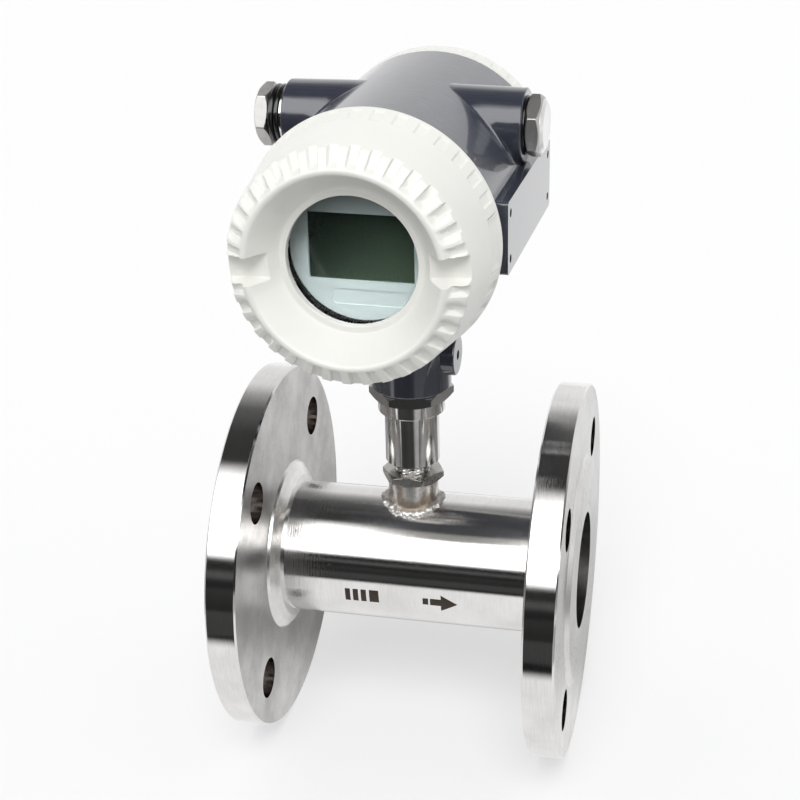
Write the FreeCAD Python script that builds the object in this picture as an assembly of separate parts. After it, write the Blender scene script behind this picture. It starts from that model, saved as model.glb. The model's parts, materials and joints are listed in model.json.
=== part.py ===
import FreeCAD, Part
import math
import os

# Turbine flow meter, flanged, with a swivelling display head.
# Millimetres. The origin is the centre of the inlet sealing face, on the pipe axis.
# +X is the direction of flow, -Y is the side of the display, +Z is up.

Vector = FreeCAD.Vector
X = Vector(1, 0, 0)
Y = Vector(0, 1, 0)
Z = Vector(0, 0, 1)

# Pipe section
face_to_face = 150.0
tube_diameter = 59.0
bore_diameter = 50.0
seat_diameter = 51.4        # counterbore at each end that takes a flow guide
seat_depth = 46.0
flange_diameter = 165.0
flange_thickness = 15.5     # raised face included
raised_face_diameter = 99.0
raised_face_height = 2.0
flange_chamfer = 0.8
bolt_circle = 125.0
bolt_hole_diameter = 18.0
bolt_count = 4
weld_root_diameter = 77.0   # fillet weld behind the flange, dressed to a cone
weld_length = 5.2

# Flow guides, one at each end of the bore
guide_clearance = 0.1
guide_ring_wall = 2.2
guide_ring_length = 34.0
guide_hub_diameter = 17.0
guide_nose_length = 10.0
vane_count = 4
vane_thickness = 2.4
vane_length = 28.0
circlip_thickness = 1.8
circlip_width = 3.6
circlip_groove_depth = 1.0
circlip_gap_angle = 36.0
circlip_lug_radius = 3.4
circlip_lug_hole = 2.0

# Rotor and its bearings
rotor_tip_clearance = 0.5
rotor_hub_diameter = 19.0
rotor_hub_length = 19.0
rotor_hub_chamfer = 1.0
blade_count = 8
blade_thickness = 1.5
blade_length = 16.0         # along the pipe axis
blade_lead = 160.0          # axial length of one full turn of a blade
rotor_end_gap = 0.7         # between rotor hub and guide hub
shaft_diameter = 3.2
shaft_clearance = 0.05
bush_diameter = 6.0
bush_length = 8.0
thrust_pad_thickness = 1.5
shaft_end_gap = 0.2

# Pickup, screwed into a boss that is welded on top of the tube
pickup_offset = 1.2         # pickup axis upstream of the middle of the pipe
boss_diameter = 22.0
boss_top = 40.4             # height of the boss face above the pipe axis
pickup_thread = 16.0
well_floor_wall = 1.5       # metal left between the pickup well and the bore
fit_gap = 0.1               # between a screwed-in piece and its hole
lower_nut_flats = 24.0
lower_nut_height = 4.0
sleeve_bottom = 48.7
sleeve_top = 73.5
sleeve_diameter = 23.6
stem_thread = 22.0
stem_top = 104.0
stem_bore = 10.4
nut_collar_diameter = 29.0
nut_collar_height = 6.4
upper_nut_flats = 32.0
upper_nut_height = 5.0
upper_nut_angle = 10.0
pole_diameter = 4.0
pole_length = 9.0
magnet_diameter = 9.0
magnet_length = 6.0
coil_length = 6.0
coil_floor_wall = 2.0       # floor of the stem under the coil

# Head housing: a short horizontal drum on a neck
head_axis_height = 168.8    # above the pipe axis
head_turn = 2.2             # degrees the display looks towards the inlet, at rest
drum_diameter = 97.0
drum_front = 51.8           # from the neck axis forwards to the front rim
drum_back = 49.4
mouth_diameter = 86.4       # threaded mouth of either end
mouth_depth = 15.0
chamber_diameter = 81.0
wall_front = 19.0           # dividing wall, measured forwards from the neck axis
wall_thickness = 4.5
neck_diameter = 34.8
neck_fillet = 4.0
casting_rounding = 0.8
swivel_clearance = 0.1
ground_boss_diameter = 17.6
ground_boss_height = 99.9
ground_boss_reach = 20.8
ground_hole_diameter = 4.2
ground_hole_depth = 7.0
lead_hole_diameter = 8.0

# Cable entries on both sides of the drum
entry_back = 6.0            # entry axis behind the neck axis
entry_rise = 30.2           # entry axis above the drum axis
entry_diameter = 29.4
entry_root_diameter = 31.0
gland_side_reach = 50.0
plug_side_reach = 48.5
entry_thread = 20.0
entry_fillet = 1.6
entry_depth = 14.4
cable_hole_diameter = 13.0

# Nameplate pad on the right side of the drum
pad_reach = 51.8
pad_front = 48.0
pad_back = 41.0
pad_top = 15.2
pad_bottom = 13.7
pad_corner = 1.5
pad_hole_diameter = 3.4
pad_hole_depth = 5.0
pad_hole_spacing_y = 79.0
pad_hole_spacing_z = 18.2

# Screwed covers
cover_gap = 0.6             # between a cover and the rim of the drum
cover_clearance = 0.3       # radial, thread spigot in its mouth
spigot_length = 12.6
spigot_wall = 4.6
seal_section = 2.4
seal_clearance = 0.1        # between a seal ring and the metal around it
seal_groove_width = 2.8
seal_groove_offset = 2.0
cover_lip = 1.4             # straight start of the front skirt
ridge_rounding = 0.8
rib_count = 36
notch_width = 10.8
rib_pocket_width = 4.6
rib_pocket_depth = 1.1
rib_pocket_margin = 3.2     # from the ridge to the start of a pocket
scallop_width = 4.4
scallop_depth = 0.9
cutter_height = 6.0         # room above the metal for the tools that cut the grips

front_skirt_diameter = 101.8
front_skirt_length = 35.9
front_crown_edge_diameter = 91.4
front_ridge_diameter = 74.6
front_crown_height = 5.4
front_notch_depth = 9.0
front_scallop_start = 3.4
front_scallop_length = 8.0
front_cover_turn = 3.5      # degrees the notches stop short of level
window_opening = 50.6
window_step_diameter = 56.8
window_step_height = 1.6
window_recess = 13.0        # window opening behind the crown ridge
window_ledge = 3.0
glass_diameter = 72.0
glass_thickness = 6.0
gasket_thickness = 1.0
gasket_inner_diameter = 57.0
retainer_thread = 74.0
retainer_inner_diameter = 64.0
retainer_length = 3.0
retainer_slot_width = 3.0
retainer_slot_depth = 1.2
retainer_lead_in = 1.5

rear_skirt_diameter = 96.8
rear_skirt_length = 10.0
rear_crown_edge_diameter = 88.0
rear_ridge_diameter = 72.0
rear_crown_height = 4.0
rear_shoulder_length = 6.0
rear_notch_depth = 6.5
rear_scallop_start = 2.0
rear_scallop_length = 7.0
rear_cover_turn = -8.0
rear_dish_diameter = 60.0
rear_dish_depth = 7.0
rear_plate_thickness = 6.0

# Electronics behind the window
standoff_diameter = 5.5
rear_standoff_length = 6.0
board_thickness = 1.6
main_board_clearance = 3.5  # between the main board and the wall of its chamber
standoff_spacing_x = 28.0
standoff_spacing_y = 44.0
bezel_diameter = 61.0
bezel_front = 65.0          # forwards from the neck axis
bezel_depth = 8.6
bezel_wall = 1.4
screen_width = 41.2
screen_height = 26.4
screen_rise = 0.8
screen_shift = -0.3
display_width = 46.0
display_height = 32.0
display_sink = 1.2          # glass of the display behind the bezel face
plate_recess_width = 31.0
plate_recess_height = 6.2
plate_recess_drop = 18.9
plate_recess_shift = 3.7
plate_recess_depth = 0.35
screw_head_diameter = 4.6
screw_head_height = 1.8

# Terminals in the rear compartment
terminal_ways = 6
terminal_pitch = 7.6
terminal_height = 15.0
terminal_depth = 12.0
terminal_drop = 4.0
terminal_screw_diameter = 4.4
terminal_screw_sink = 5.0
terminal_screw_length = 3.4
terminal_slot_width = 0.8
terminal_slot_depth = 1.0
terminal_wire_hole = 3.6
terminal_wire_depth = 5.0
terminal_ear = 7.0
terminal_ear_depth = 4.0
terminal_fixing_diameter = 5.6
terminal_fixing_height = 2.2

# Signal lead from the pickup to the main board
lead_diameter = 4.2
lead_bend = 12.0
lead_edge_margin = 10.0     # from the edge of the main board to the lead
lead_plug_width = 9.0
lead_plug_length = 5.5
lead_end_gap = 0.3          # between the lead and the pickup magnet

# Cable gland on the left, blanking plug on the right
fitting_flats = 24.0
fitting_hex_height = 6.0
gland_screw_angle = 15.0    # degrees a hex corner leans back from the top
plug_angle = -3.0
washer_thickness = 1.6
washer_diameter = 24.0
o_ring_section = 2.4
gland_bore = 11.0
gland_bush_length = 8.0
gland_bush_bore = 8.5
thrust_ring_thickness = 1.2
thread_running_gap = 0.3
plug_gasket_thickness = 0.8
plug_gasket_margin = 0.2
plug_shank_length = 12.0
plug_dome = 1.2
plug_dome_margin = 0.6

# Worked out from the sizes above
middle_x = face_to_face / 2
tube_radius = tube_diameter / 2
bore_radius = bore_diameter / 2
seat_radius = seat_diameter / 2
neck_x = middle_x - pickup_offset
neck_foot = Vector(neck_x, 0, 0)
head_centre = Vector(neck_x, 0, head_axis_height)
neck_bottom = sleeve_top + nut_collar_height + upper_nut_height
mouth_radius = mouth_diameter / 2
spigot_radius = mouth_radius - cover_clearance
well_floor = bore_radius + well_floor_wall
pickup_tip = well_floor + fit_gap
magnet_bottom = pickup_tip + pole_length

# Places along the bore, measured inwards from either face
guide_start = seat_depth - guide_ring_length
guide_hub_end = middle_x - rotor_hub_length / 2 - rotor_end_gap
guide_ring_outer = seat_radius - guide_clearance
guide_ring_inner = guide_ring_outer - guide_ring_wall

# Places in the front cover, measured outwards from its joint with the drum
front_ridge_height = front_skirt_length + front_crown_height
window_face = front_ridge_height - window_recess
ledge_back = window_face - window_ledge
gasket_back = ledge_back - gasket_thickness
glass_back = gasket_back - glass_thickness
retainer_back = glass_back - retainer_length

# Places in the drum, measured forwards from the neck axis
wall_back = wall_front - wall_thickness
main_board_back = wall_front + rear_standoff_length
main_board_front = main_board_back + board_thickness
display_board_front = bezel_front - bezel_depth
display_board_back = display_board_front - board_thickness
main_board_diameter = chamber_diameter - 2 * main_board_clearance
lead_drop = main_board_diameter / 2 - lead_edge_margin
terminal_strip_length = terminal_ways * terminal_pitch


def cylinder(radius, start, end):
    """Solid cylinder between two points."""
    along = end - start
    return Part.makeCylinder(radius, along.Length, start, along)


def tube(outer_radius, inner_radius, start, end):
    return cylinder(outer_radius, start, end).cut(cylinder(inner_radius, start, end))


def lathe(profile):
    """Turn a closed outline of (radius, height) points about Z."""
    points = [Vector(radius, 0, height) for radius, height in profile]
    wire = Part.makePolygon(points + points[:1])
    return Part.Face(wire).revolve(Vector(), Z, 360)


def aim(shape, direction, place=Vector()):
    """Turn a shape that was built along +Z so that it runs along direction, then move it."""
    shape = shape.copy()
    turn = FreeCAD.Rotation(Z, direction)
    shape.Placement = FreeCAD.Placement(place, turn).multiply(shape.Placement)
    return shape


def around(shape, count, axis, centre=Vector(), skip=()):
    """Copies of a shape spaced evenly about an axis."""
    copies = []
    for number in range(count):
        if number in skip:
            continue
        copy = shape.copy()
        copy.rotate(centre, axis, 360.0 * number / count)
        copies.append(copy)
    return copies


def rectangle(width, height):
    """Corners of a rectangle about the origin of the XY plane."""
    return [Vector(x * width / 2, y * height / 2, 0) for x in (-1, 1) for y in (-1, 1)]


def hex_prism(flats, height, chamfer_share=0.12):
    """Hexagon standing on z = 0 with its corners turned off at both ends."""
    corner = flats / math.sqrt(3)
    points = [Vector(corner * math.cos(math.radians(60 * k)), corner * math.sin(math.radians(60 * k)), 0)
              for k in range(7)]
    prism = Part.Face(Part.makePolygon(points)).extrude(Vector(0, 0, height))
    rise = chamfer_share * height * 2
    flat_radius = corner - rise * 1.7
    turned = lathe([(0, 0), (flat_radius, 0), (corner, rise), (corner, height - rise),
                    (flat_radius, height), (0, height)])
    return prism.common(turned)


def torus_ring(ring_radius, section):
    return Part.makeTorus(ring_radius, section / 2)


def make_measuring_tube():
    groove_start = guide_start - circlip_thickness - 2 * guide_clearance
    groove_radius = seat_radius + circlip_groove_depth
    body = cylinder(tube_radius, Vector(), X * face_to_face)
    body = body.cut(cylinder(bore_radius, Vector(), X * face_to_face))
    for face, inwards in ((Vector(), X), (X * face_to_face, -X)):
        body = body.cut(cylinder(seat_radius, face, face + inwards * seat_depth))
        groove = cylinder(groove_radius, face + inwards * groove_start, face + inwards * guide_start)
        body = body.cut(groove)
    well = cylinder(pickup_thread / 2, neck_foot + Z * well_floor, neck_foot + Z * boss_top)
    return body.cut(well)


def make_flange(face, inwards):
    """Flange ring slipped over the tube end, built from its sealing face inwards."""
    outer = flange_diameter / 2
    profile = [
        (tube_radius, 0),
        (raised_face_diameter / 2, 0),
        (raised_face_diameter / 2, raised_face_height),
        (outer - flange_chamfer, raised_face_height),
        (outer, raised_face_height + flange_chamfer),
        (outer, flange_thickness - flange_chamfer),
        (outer - flange_chamfer, flange_thickness),
        (weld_root_diameter / 2, flange_thickness),
        (tube_radius, flange_thickness + weld_length),
    ]
    ring = lathe(profile)
    half_step = math.pi / bolt_count
    place = Vector(math.cos(half_step), math.sin(half_step), 0) * (bolt_circle / 2)
    hole = cylinder(bolt_hole_diameter / 2, place, place + Z * flange_thickness)
    for copy in around(hole, bolt_count, Z):
        ring = ring.cut(copy)
    return aim(ring, inwards, face)


def make_guide_ring(face, inwards):
    ring = tube(guide_ring_outer, guide_ring_inner, Z * guide_start, Z * seat_depth)
    return aim(ring, inwards, face)


def guide_hub_body():
    """Hub of a flow guide with its elliptical nose, along Z."""
    radius = guide_hub_diameter / 2
    nose_end = guide_start + guide_nose_length
    halfway = Vector(radius * math.sin(math.pi / 4), 0, nose_end - guide_nose_length * math.cos(math.pi / 4))
    nose = Part.Arc(Vector(0, 0, guide_start), halfway, Vector(radius, 0, nose_end)).toShape()
    side = Part.makePolygon([Vector(radius, 0, nose_end), Vector(radius, 0, guide_hub_end),
                             Vector(0, 0, guide_hub_end), Vector(0, 0, guide_start)])
    return Part.Face(Part.Wire([nose] + side.Edges)).revolve(Vector(), Z, 360)


def make_guide_hub(face, inwards):
    """Hub with the pocket for the bearing bush and its thrust pad."""
    pocket_floor = guide_hub_end - bush_length - thrust_pad_thickness
    pocket = cylinder(bush_diameter / 2, Z * pocket_floor, Z * guide_hub_end)
    return aim(guide_hub_body().cut(pocket), inwards, face)


def make_guide_vanes(face, inwards):
    """Radial plates that stand between the hub and the ring."""
    start = seat_depth - vane_length
    plate = Part.makeBox(guide_ring_outer, vane_thickness, vane_length, Vector(0, -vane_thickness / 2, start))
    plate = plate.common(cylinder(guide_ring_inner, Z * start, Z * seat_depth)).cut(guide_hub_body())
    plate.rotate(Vector(), Z, 180.0 / vane_count)
    return aim(Part.makeCompound(around(plate, vane_count, Z)), inwards, face)


def make_bush(face, inwards):
    inner = shaft_diameter / 2 + shaft_clearance
    bush = tube(bush_diameter / 2, inner, Z * (guide_hub_end - bush_length), Z * guide_hub_end)
    return aim(bush, inwards, face)


def make_thrust_pad(face, inwards):
    floor = guide_hub_end - bush_length - thrust_pad_thickness
    pad = cylinder(bush_diameter / 2, Z * floor, Z * (floor + thrust_pad_thickness))
    return aim(pad, inwards, face)


def make_circlip(face, inwards):
    """Open spring ring with two pierced lugs beside its gap, in the groove before a flow guide."""
    outer = seat_radius + circlip_groove_depth - guide_clearance
    inner = outer - circlip_width
    back = guide_start - guide_clearance
    start = back - circlip_thickness
    ring = tube(outer, inner, Z * start, Z * back)
    wedge = Part.makeCylinder(outer * 2, circlip_thickness, Vector(0, 0, start), Z, circlip_gap_angle)
    wedge.rotate(Vector(), Z, -90 - circlip_gap_angle / 2)
    ring = ring.cut(wedge)
    lug_middle = outer - circlip_lug_radius
    lug_angle = circlip_gap_angle / 2 + math.degrees(circlip_lug_radius / lug_middle)
    holes = []
    for side in (-1, 1):
        angle = math.radians(-90 + side * lug_angle)
        centre = Vector(lug_middle * math.cos(angle), lug_middle * math.sin(angle), start)
        ring = ring.fuse(cylinder(circlip_lug_radius, centre, centre + Z * circlip_thickness))
        holes.append(cylinder(circlip_lug_hole / 2, centre, centre + Z * circlip_thickness))
    for hole in holes:
        ring = ring.cut(hole)
    return aim(ring.removeSplitter(), inwards, face)


def blade_section(height, tip):
    """Thin radial rectangle at one station of a blade, turned by the lead of the helix."""
    half = blade_thickness / 2
    root = rotor_hub_diameter / 2 - 1
    corners = [Vector(root, -half, height), Vector(tip, -half, height),
               Vector(tip, half, height), Vector(root, half, height)]
    turn = FreeCAD.Rotation(Z, 360.0 * height / blade_lead)
    corners = [turn.multVec(corner) for corner in corners]
    return Part.makePolygon(corners + corners[:1])


def make_rotor():
    tip_radius = bore_radius - rotor_tip_clearance
    stations = 5
    sections = []
    for number in range(stations):
        height = blade_length * (number / (stations - 1) - 0.5)
        sections.append(blade_section(height, tip_radius + 1))
    blade = Part.makeLoft(sections, True, False)
    half = rotor_hub_length / 2
    radius = rotor_hub_diameter / 2
    hub = lathe([(0, -half), (radius - rotor_hub_chamfer, -half), (radius, -half + rotor_hub_chamfer),
                 (radius, half - rotor_hub_chamfer), (radius - rotor_hub_chamfer, half), (0, half)])
    limit = cylinder(tip_radius, Z * -half, Z * half)
    rotor = hub.fuse([copy.common(limit) for copy in around(blade, blade_count, Z)])
    rotor = rotor.cut(cylinder(shaft_diameter / 2, Z * -half, Z * half))
    return aim(rotor, X, X * middle_x)


def make_rotor_shaft():
    reach = middle_x - (guide_hub_end - bush_length + shaft_end_gap)
    return cylinder(shaft_diameter / 2, X * (middle_x - reach), X * (middle_x + reach))


def make_pickup_boss():
    boss = tube(boss_diameter / 2, pickup_thread / 2, neck_foot, neck_foot + Z * boss_top)
    return boss.cut(cylinder(tube_radius, Vector(), X * face_to_face))


def make_pickup_stem():
    """Steel body of the pickup, from its tip in the well to the thread in the neck."""
    screw = pickup_thread / 2 - fit_gap
    upper = stem_thread / 2
    bore = stem_bore / 2
    coil_floor = pickup_tip + coil_floor_wall
    stem = lathe([(pole_diameter / 2, pickup_tip), (screw, pickup_tip), (screw, sleeve_bottom),
                  (sleeve_diameter / 2, sleeve_bottom), (sleeve_diameter / 2, sleeve_top),
                  (upper, sleeve_top), (upper, stem_top), (bore, stem_top), (bore, coil_floor),
                  (pole_diameter / 2, coil_floor)])
    return aim(stem, Z, neck_foot)


def make_lower_nut():
    nut = hex_prism(lower_nut_flats, lower_nut_height)
    nut = nut.cut(cylinder(pickup_thread / 2, Vector(), Z * lower_nut_height))
    return aim(nut, Z, neck_foot + Z * boss_top)


def make_upper_nut():
    """Lock nut under the neck, with a round collar below its hexagon."""
    nut = hex_prism(upper_nut_flats, upper_nut_height)
    nut.rotate(Vector(), Z, upper_nut_angle)
    nut.translate(Z * nut_collar_height)
    nut = nut.fuse(cylinder(nut_collar_diameter / 2, Vector(), Z * nut_collar_height))
    height = nut_collar_height + upper_nut_height
    nut = nut.cut(cylinder(stem_thread / 2 + fit_gap / 2, Vector(), Z * height))
    return aim(nut, Z, neck_foot + Z * sleeve_top)


def make_pole_piece():
    return cylinder(pole_diameter / 2, neck_foot + Z * pickup_tip, neck_foot + Z * magnet_bottom)


def make_magnet():
    bottom = neck_foot + Z * magnet_bottom
    return cylinder(magnet_diameter / 2, bottom, bottom + Z * magnet_length)


def make_coil():
    bottom = neck_foot + Z * (pickup_tip + coil_floor_wall)
    return tube(stem_bore / 2 - fit_gap, pole_diameter / 2, bottom, bottom + Z * coil_length)


def drum_point(right, back, rise):
    """Point given from the crossing of the neck axis and the drum axis."""
    return head_centre + Vector(right, back, rise)


def round_rims(shape, *centres):
    """Round the circular edges that have the given centres."""
    rims = [edge for edge in shape.Edges if edge.Curve.TypeId == "Part::GeomCircle"
            and any(edge.Curve.Center.distanceToPoint(centre) < fit_gap for centre in centres)]
    return shape.makeFillet(casting_rounding, rims)


def entry_shell(side, reach):
    """Cast boss of a cable entry, a little thicker at its root."""
    root = drum_point(0, entry_back, entry_rise)
    cone = Part.makeCone(entry_root_diameter / 2, entry_diameter / 2, reach, root, X * side)
    return round_rims(cone, root + X * side * reach)


def entry_bore(side, reach):
    end = drum_point(side * reach, entry_back, entry_rise)
    shoulder = drum_point(side * (reach - entry_depth), entry_back, entry_rise)
    inside = drum_point(0, entry_back, entry_rise)
    threaded = cylinder(entry_thread / 2, shoulder, end)
    return threaded.fuse(cylinder(cable_hole_diameter / 2, inside, shoulder))


def make_nameplate_pad():
    length = pad_front + pad_back
    height = pad_top + pad_bottom
    depth = pad_reach - drum_diameter / 4
    pad = Part.makeBox(depth, length, height, drum_point(drum_diameter / 4, -pad_front, -pad_bottom))
    outer_edges = [edge for edge in pad.Edges
                   if edge.BoundBox.XMax > neck_x + pad_reach - fit_gap and edge.BoundBox.XLength > fit_gap]
    return pad.makeFillet(pad_corner, outer_edges)


def pad_holes():
    middle = drum_point(pad_reach, (pad_back - pad_front) / 2, (pad_top - pad_bottom) / 2)
    holes = []
    for place in rectangle(pad_hole_spacing_y, pad_hole_spacing_z):
        mouth = middle + Vector(0, place.x, place.y)
        holes.append(cylinder(pad_hole_diameter / 2, mouth - X * pad_hole_depth, mouth))
    return holes


def make_housing():
    """Cast head housing with two compartments, two cable entries and a neck."""
    drum_radius = drum_diameter / 2
    front_rim = drum_point(0, -drum_front, 0)
    back_rim = drum_point(0, drum_back, 0)
    neck_rim = neck_foot + Z * neck_bottom
    drum = round_rims(cylinder(drum_radius, front_rim, back_rim), front_rim, back_rim)
    neck = round_rims(cylinder(neck_diameter / 2, neck_rim, head_centre), neck_rim)
    shell = drum.fuse([entry_shell(-1, gland_side_reach), entry_shell(1, plug_side_reach), neck])
    shell = shell.removeSplitter()
    shell = shell.makeFillet(entry_fillet, creases(shell, head_axis_height, head_axis_height * 2))
    shell = shell.makeFillet(neck_fillet, creases(shell, neck_bottom, head_axis_height - drum_radius * 0.9))
    ground = neck_foot + Z * ground_boss_height
    ground_face = ground + X * ground_boss_reach
    ground_boss = cylinder(ground_boss_diameter / 2, ground, ground_face)
    shell = shell.fuse([make_nameplate_pad(), round_rims(ground_boss, ground_face)])

    chamber_radius = chamber_diameter / 2
    hollows = [
        cylinder(chamber_radius, front_rim, drum_point(0, -wall_front, 0)),
        cylinder(mouth_radius, front_rim, front_rim + Y * mouth_depth),
        cylinder(chamber_radius, drum_point(0, -wall_back, 0), back_rim),
        cylinder(mouth_radius, back_rim - Y * mouth_depth, back_rim),
        cylinder(stem_thread / 2 + swivel_clearance, neck_rim, head_centre),
        cylinder(ground_hole_diameter / 2, ground_face - X * ground_hole_depth, ground_face),
        cylinder(lead_hole_diameter / 2, drum_point(0, -wall_front, -lead_drop),
                 drum_point(0, 0, -lead_drop)),
        entry_bore(-1, gland_side_reach),
        entry_bore(1, plug_side_reach),
    ]
    return shell.cut(hollows + pad_holes()).removeSplitter()


def creases(shell, lowest, highest):
    """Curves between two heights where an entry boss or the neck grows out of the drum."""
    found = []
    for edge in shell.Edges:
        curved = edge.Curve.TypeId not in ("Part::GeomCircle", "Part::GeomLine")
        if curved and edge.BoundBox.ZMin > lowest and edge.BoundBox.ZMax < highest:
            found.append(edge)
    return found


def cover_profile(skirt, skirt_length, edge, edge_height, ridge, ridge_height):
    """Outer side of a screwed cover, from the drum rim outwards, as (radius, height) points."""
    shoulder = ridge_height - ridge_rounding / 2
    return [
        (skirt / 2, 0),
        (skirt / 2, skirt_length),
        (edge / 2, edge_height),
        (ridge / 2 + ridge_rounding, shoulder),
        (ridge / 2, ridge_height),
        (ridge / 2 - ridge_rounding, shoulder),
    ]


def rib_pocket(edge_radius, edge_height, ridge_radius, ridge_height):
    """Cutter for one gap between two ribs on the sloping face of a crown."""
    slope = math.atan2(ridge_height - edge_height, edge_radius - ridge_radius)
    length = (edge_radius - ridge_radius) / math.cos(slope)
    cutter = Part.makeBox(length, rib_pocket_width, cutter_height,
                          Vector(0, -rib_pocket_width / 2, -rib_pocket_depth))
    cutter.rotate(Vector(), Y, math.degrees(slope))
    down_the_slope = Vector(math.cos(slope), 0, -math.sin(slope))
    cutter.translate(Vector(ridge_radius, 0, ridge_height) + down_the_slope * rib_pocket_margin)
    return cutter


def scallop(start, length, radius_low, radius_high):
    """Cutter for one short groove in the skirt, near the rim of the drum."""
    slope = math.degrees(math.atan2(radius_low - radius_high, length))
    cutter = Part.makeBox(cutter_height, scallop_width, length,
                          Vector(-scallop_depth, -scallop_width / 2, 0))
    cutter.rotate(Vector(), Y, -slope)
    cutter.translate(Vector(radius_low, 0, start))
    return cutter


def notch(depth, ridge_height, outer_radius):
    """Cutter for the pair of spanner slots across the crown."""
    reach = outer_radius + cutter_height
    return Part.makeBox(2 * reach, notch_width, depth + cutter_height,
                        Vector(-reach, -notch_width / 2, ridge_height - depth))


def skirt_radius_at(height, skirt, edge, edge_height):
    share = (height - cover_lip) / (edge_height - cover_lip)
    return skirt / 2 + (edge / 2 - skirt / 2) * share


def spigot_outline():
    """Threaded spigot that enters the drum, with its seal groove, as (radius, height) points."""
    floor = mouth_radius - seal_section - 2 * seal_clearance
    groove_top = -cover_gap - seal_groove_offset
    groove_bottom = groove_top - seal_groove_width
    return [
        (spigot_radius - spigot_wall, -spigot_length),
        (spigot_radius, -spigot_length),
        (spigot_radius, groove_bottom),
        (floor, groove_bottom),
        (floor, groove_top),
        (spigot_radius, groove_top),
        (spigot_radius, 0),
    ]


def cut_grips(cover, pocket, groove, slot):
    """Cut the pockets and grooves round a cover, except where the spanner slots run."""
    slot_places = (0, rib_count // 2)
    cutters = around(pocket, rib_count, Z, skip=slot_places) + around(groove, rib_count, Z, skip=slot_places)
    return cover.cut(cutters + [slot])


def make_front_cover():
    edge_radius = front_crown_edge_diameter / 2
    ridge_radius = front_ridge_diameter / 2
    profile = spigot_outline()
    profile += cover_profile(front_skirt_diameter, cover_lip, front_crown_edge_diameter,
                             front_skirt_length, front_ridge_diameter, front_ridge_height)
    profile += [
        (window_step_diameter / 2, window_face + window_step_height),
        (window_step_diameter / 2, window_face),
        (window_opening / 2, window_face),
        (window_opening / 2, ledge_back),
        (glass_diameter / 2 + fit_gap, ledge_back),
        (glass_diameter / 2 + fit_gap, glass_back),
        (retainer_thread / 2, glass_back),
        (retainer_thread / 2, retainer_back),
        (spigot_radius - spigot_wall, retainer_back - retainer_lead_in),
    ]
    pocket = rib_pocket(edge_radius, front_skirt_length, ridge_radius, front_ridge_height)
    groove_ends = (front_scallop_start, front_scallop_start + front_scallop_length)
    low, high = (skirt_radius_at(height, front_skirt_diameter, front_crown_edge_diameter, front_skirt_length)
                 for height in groove_ends)
    groove = scallop(front_scallop_start, front_scallop_length, low, high)
    slot = notch(front_notch_depth, front_ridge_height, front_skirt_diameter / 2)
    cover = cut_grips(lathe(profile), pocket, groove, slot)
    cover.rotate(Vector(), Z, front_cover_turn)
    return place_front(cover)


def make_rear_cover():
    edge_height = rear_skirt_length + rear_shoulder_length
    ridge_height = edge_height + rear_crown_height
    dish_height = ridge_height - rear_dish_depth
    plate_back = dish_height - rear_plate_thickness
    radius = rear_skirt_diameter / 2
    profile = spigot_outline()
    profile += cover_profile(rear_skirt_diameter, rear_skirt_length, rear_crown_edge_diameter,
                             edge_height, rear_ridge_diameter, ridge_height)
    profile += [
        (rear_dish_diameter / 2, dish_height),
        (0, dish_height),
        (0, plate_back),
        (spigot_radius - spigot_wall, plate_back),
    ]
    pocket = rib_pocket(rear_crown_edge_diameter / 2, edge_height, rear_ridge_diameter / 2, ridge_height)
    groove = scallop(rear_scallop_start, rear_scallop_length, radius, radius)
    cover = cut_grips(lathe(profile), pocket, groove, notch(rear_notch_depth, ridge_height, radius))
    cover.rotate(Vector(), Z, rear_cover_turn)
    return place_rear(cover)


def place_front(shape):
    """Move a shape built outwards along +Z from the cover joint to the front of the drum."""
    return aim(shape, -Y, drum_point(0, -drum_front - cover_gap, 0))


def place_rear(shape):
    return aim(shape, Y, drum_point(0, drum_back + cover_gap, 0))


def make_cover_seal():
    middle = -cover_gap - seal_groove_offset - seal_groove_width / 2
    ring = torus_ring(mouth_radius - seal_clearance - seal_section / 2, seal_section)
    ring.translate(Z * middle)
    return ring


def make_window_gasket():
    gasket = tube(glass_diameter / 2, gasket_inner_diameter / 2, Z * gasket_back, Z * ledge_back)
    return place_front(gasket)


def make_window_glass():
    return place_front(cylinder(glass_diameter / 2, Z * glass_back, Z * gasket_back))


def make_window_ring():
    """Threaded retaining ring with two slots for a pin spanner."""
    outer = retainer_thread / 2 - fit_gap
    ring = tube(outer, retainer_inner_diameter / 2, Z * retainer_back, Z * glass_back)
    slot = Part.makeBox(outer * 2, retainer_slot_width, retainer_slot_depth,
                        Vector(-outer, -retainer_slot_width / 2, retainer_back))
    return place_front(ring.cut(slot))


def standoff_places(height):
    return [place + Z * height for place in rectangle(standoff_spacing_x, standoff_spacing_y)]


def in_front(shape):
    """Place a shape whose heights are measured forwards from the neck axis."""
    return aim(shape, -Y, head_centre)


def pins(radius, start, end):
    """One pin at each corner of the standoff pattern."""
    pieces = [cylinder(radius, place, place + Z * (end - start)) for place in standoff_places(start)]
    return in_front(Part.makeCompound(pieces))


def make_rear_standoffs():
    return pins(standoff_diameter / 2, wall_front, main_board_back)


def make_front_standoffs():
    return pins(standoff_diameter / 2, main_board_front, display_board_back)


def make_main_board():
    return in_front(cylinder(main_board_diameter / 2, Z * main_board_back, Z * main_board_front))


def make_display_board():
    radius = bezel_diameter / 2 - fit_gap
    return in_front(cylinder(radius, Z * display_board_back, Z * display_board_front))


def make_display_panel():
    """Liquid crystal display block between its board and the bezel."""
    front = bezel_front - display_sink
    low = Vector(screen_shift - display_width / 2, screen_rise - display_height / 2, display_board_front)
    return in_front(Part.makeBox(display_width, display_height, front - display_board_front, low))


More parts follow.
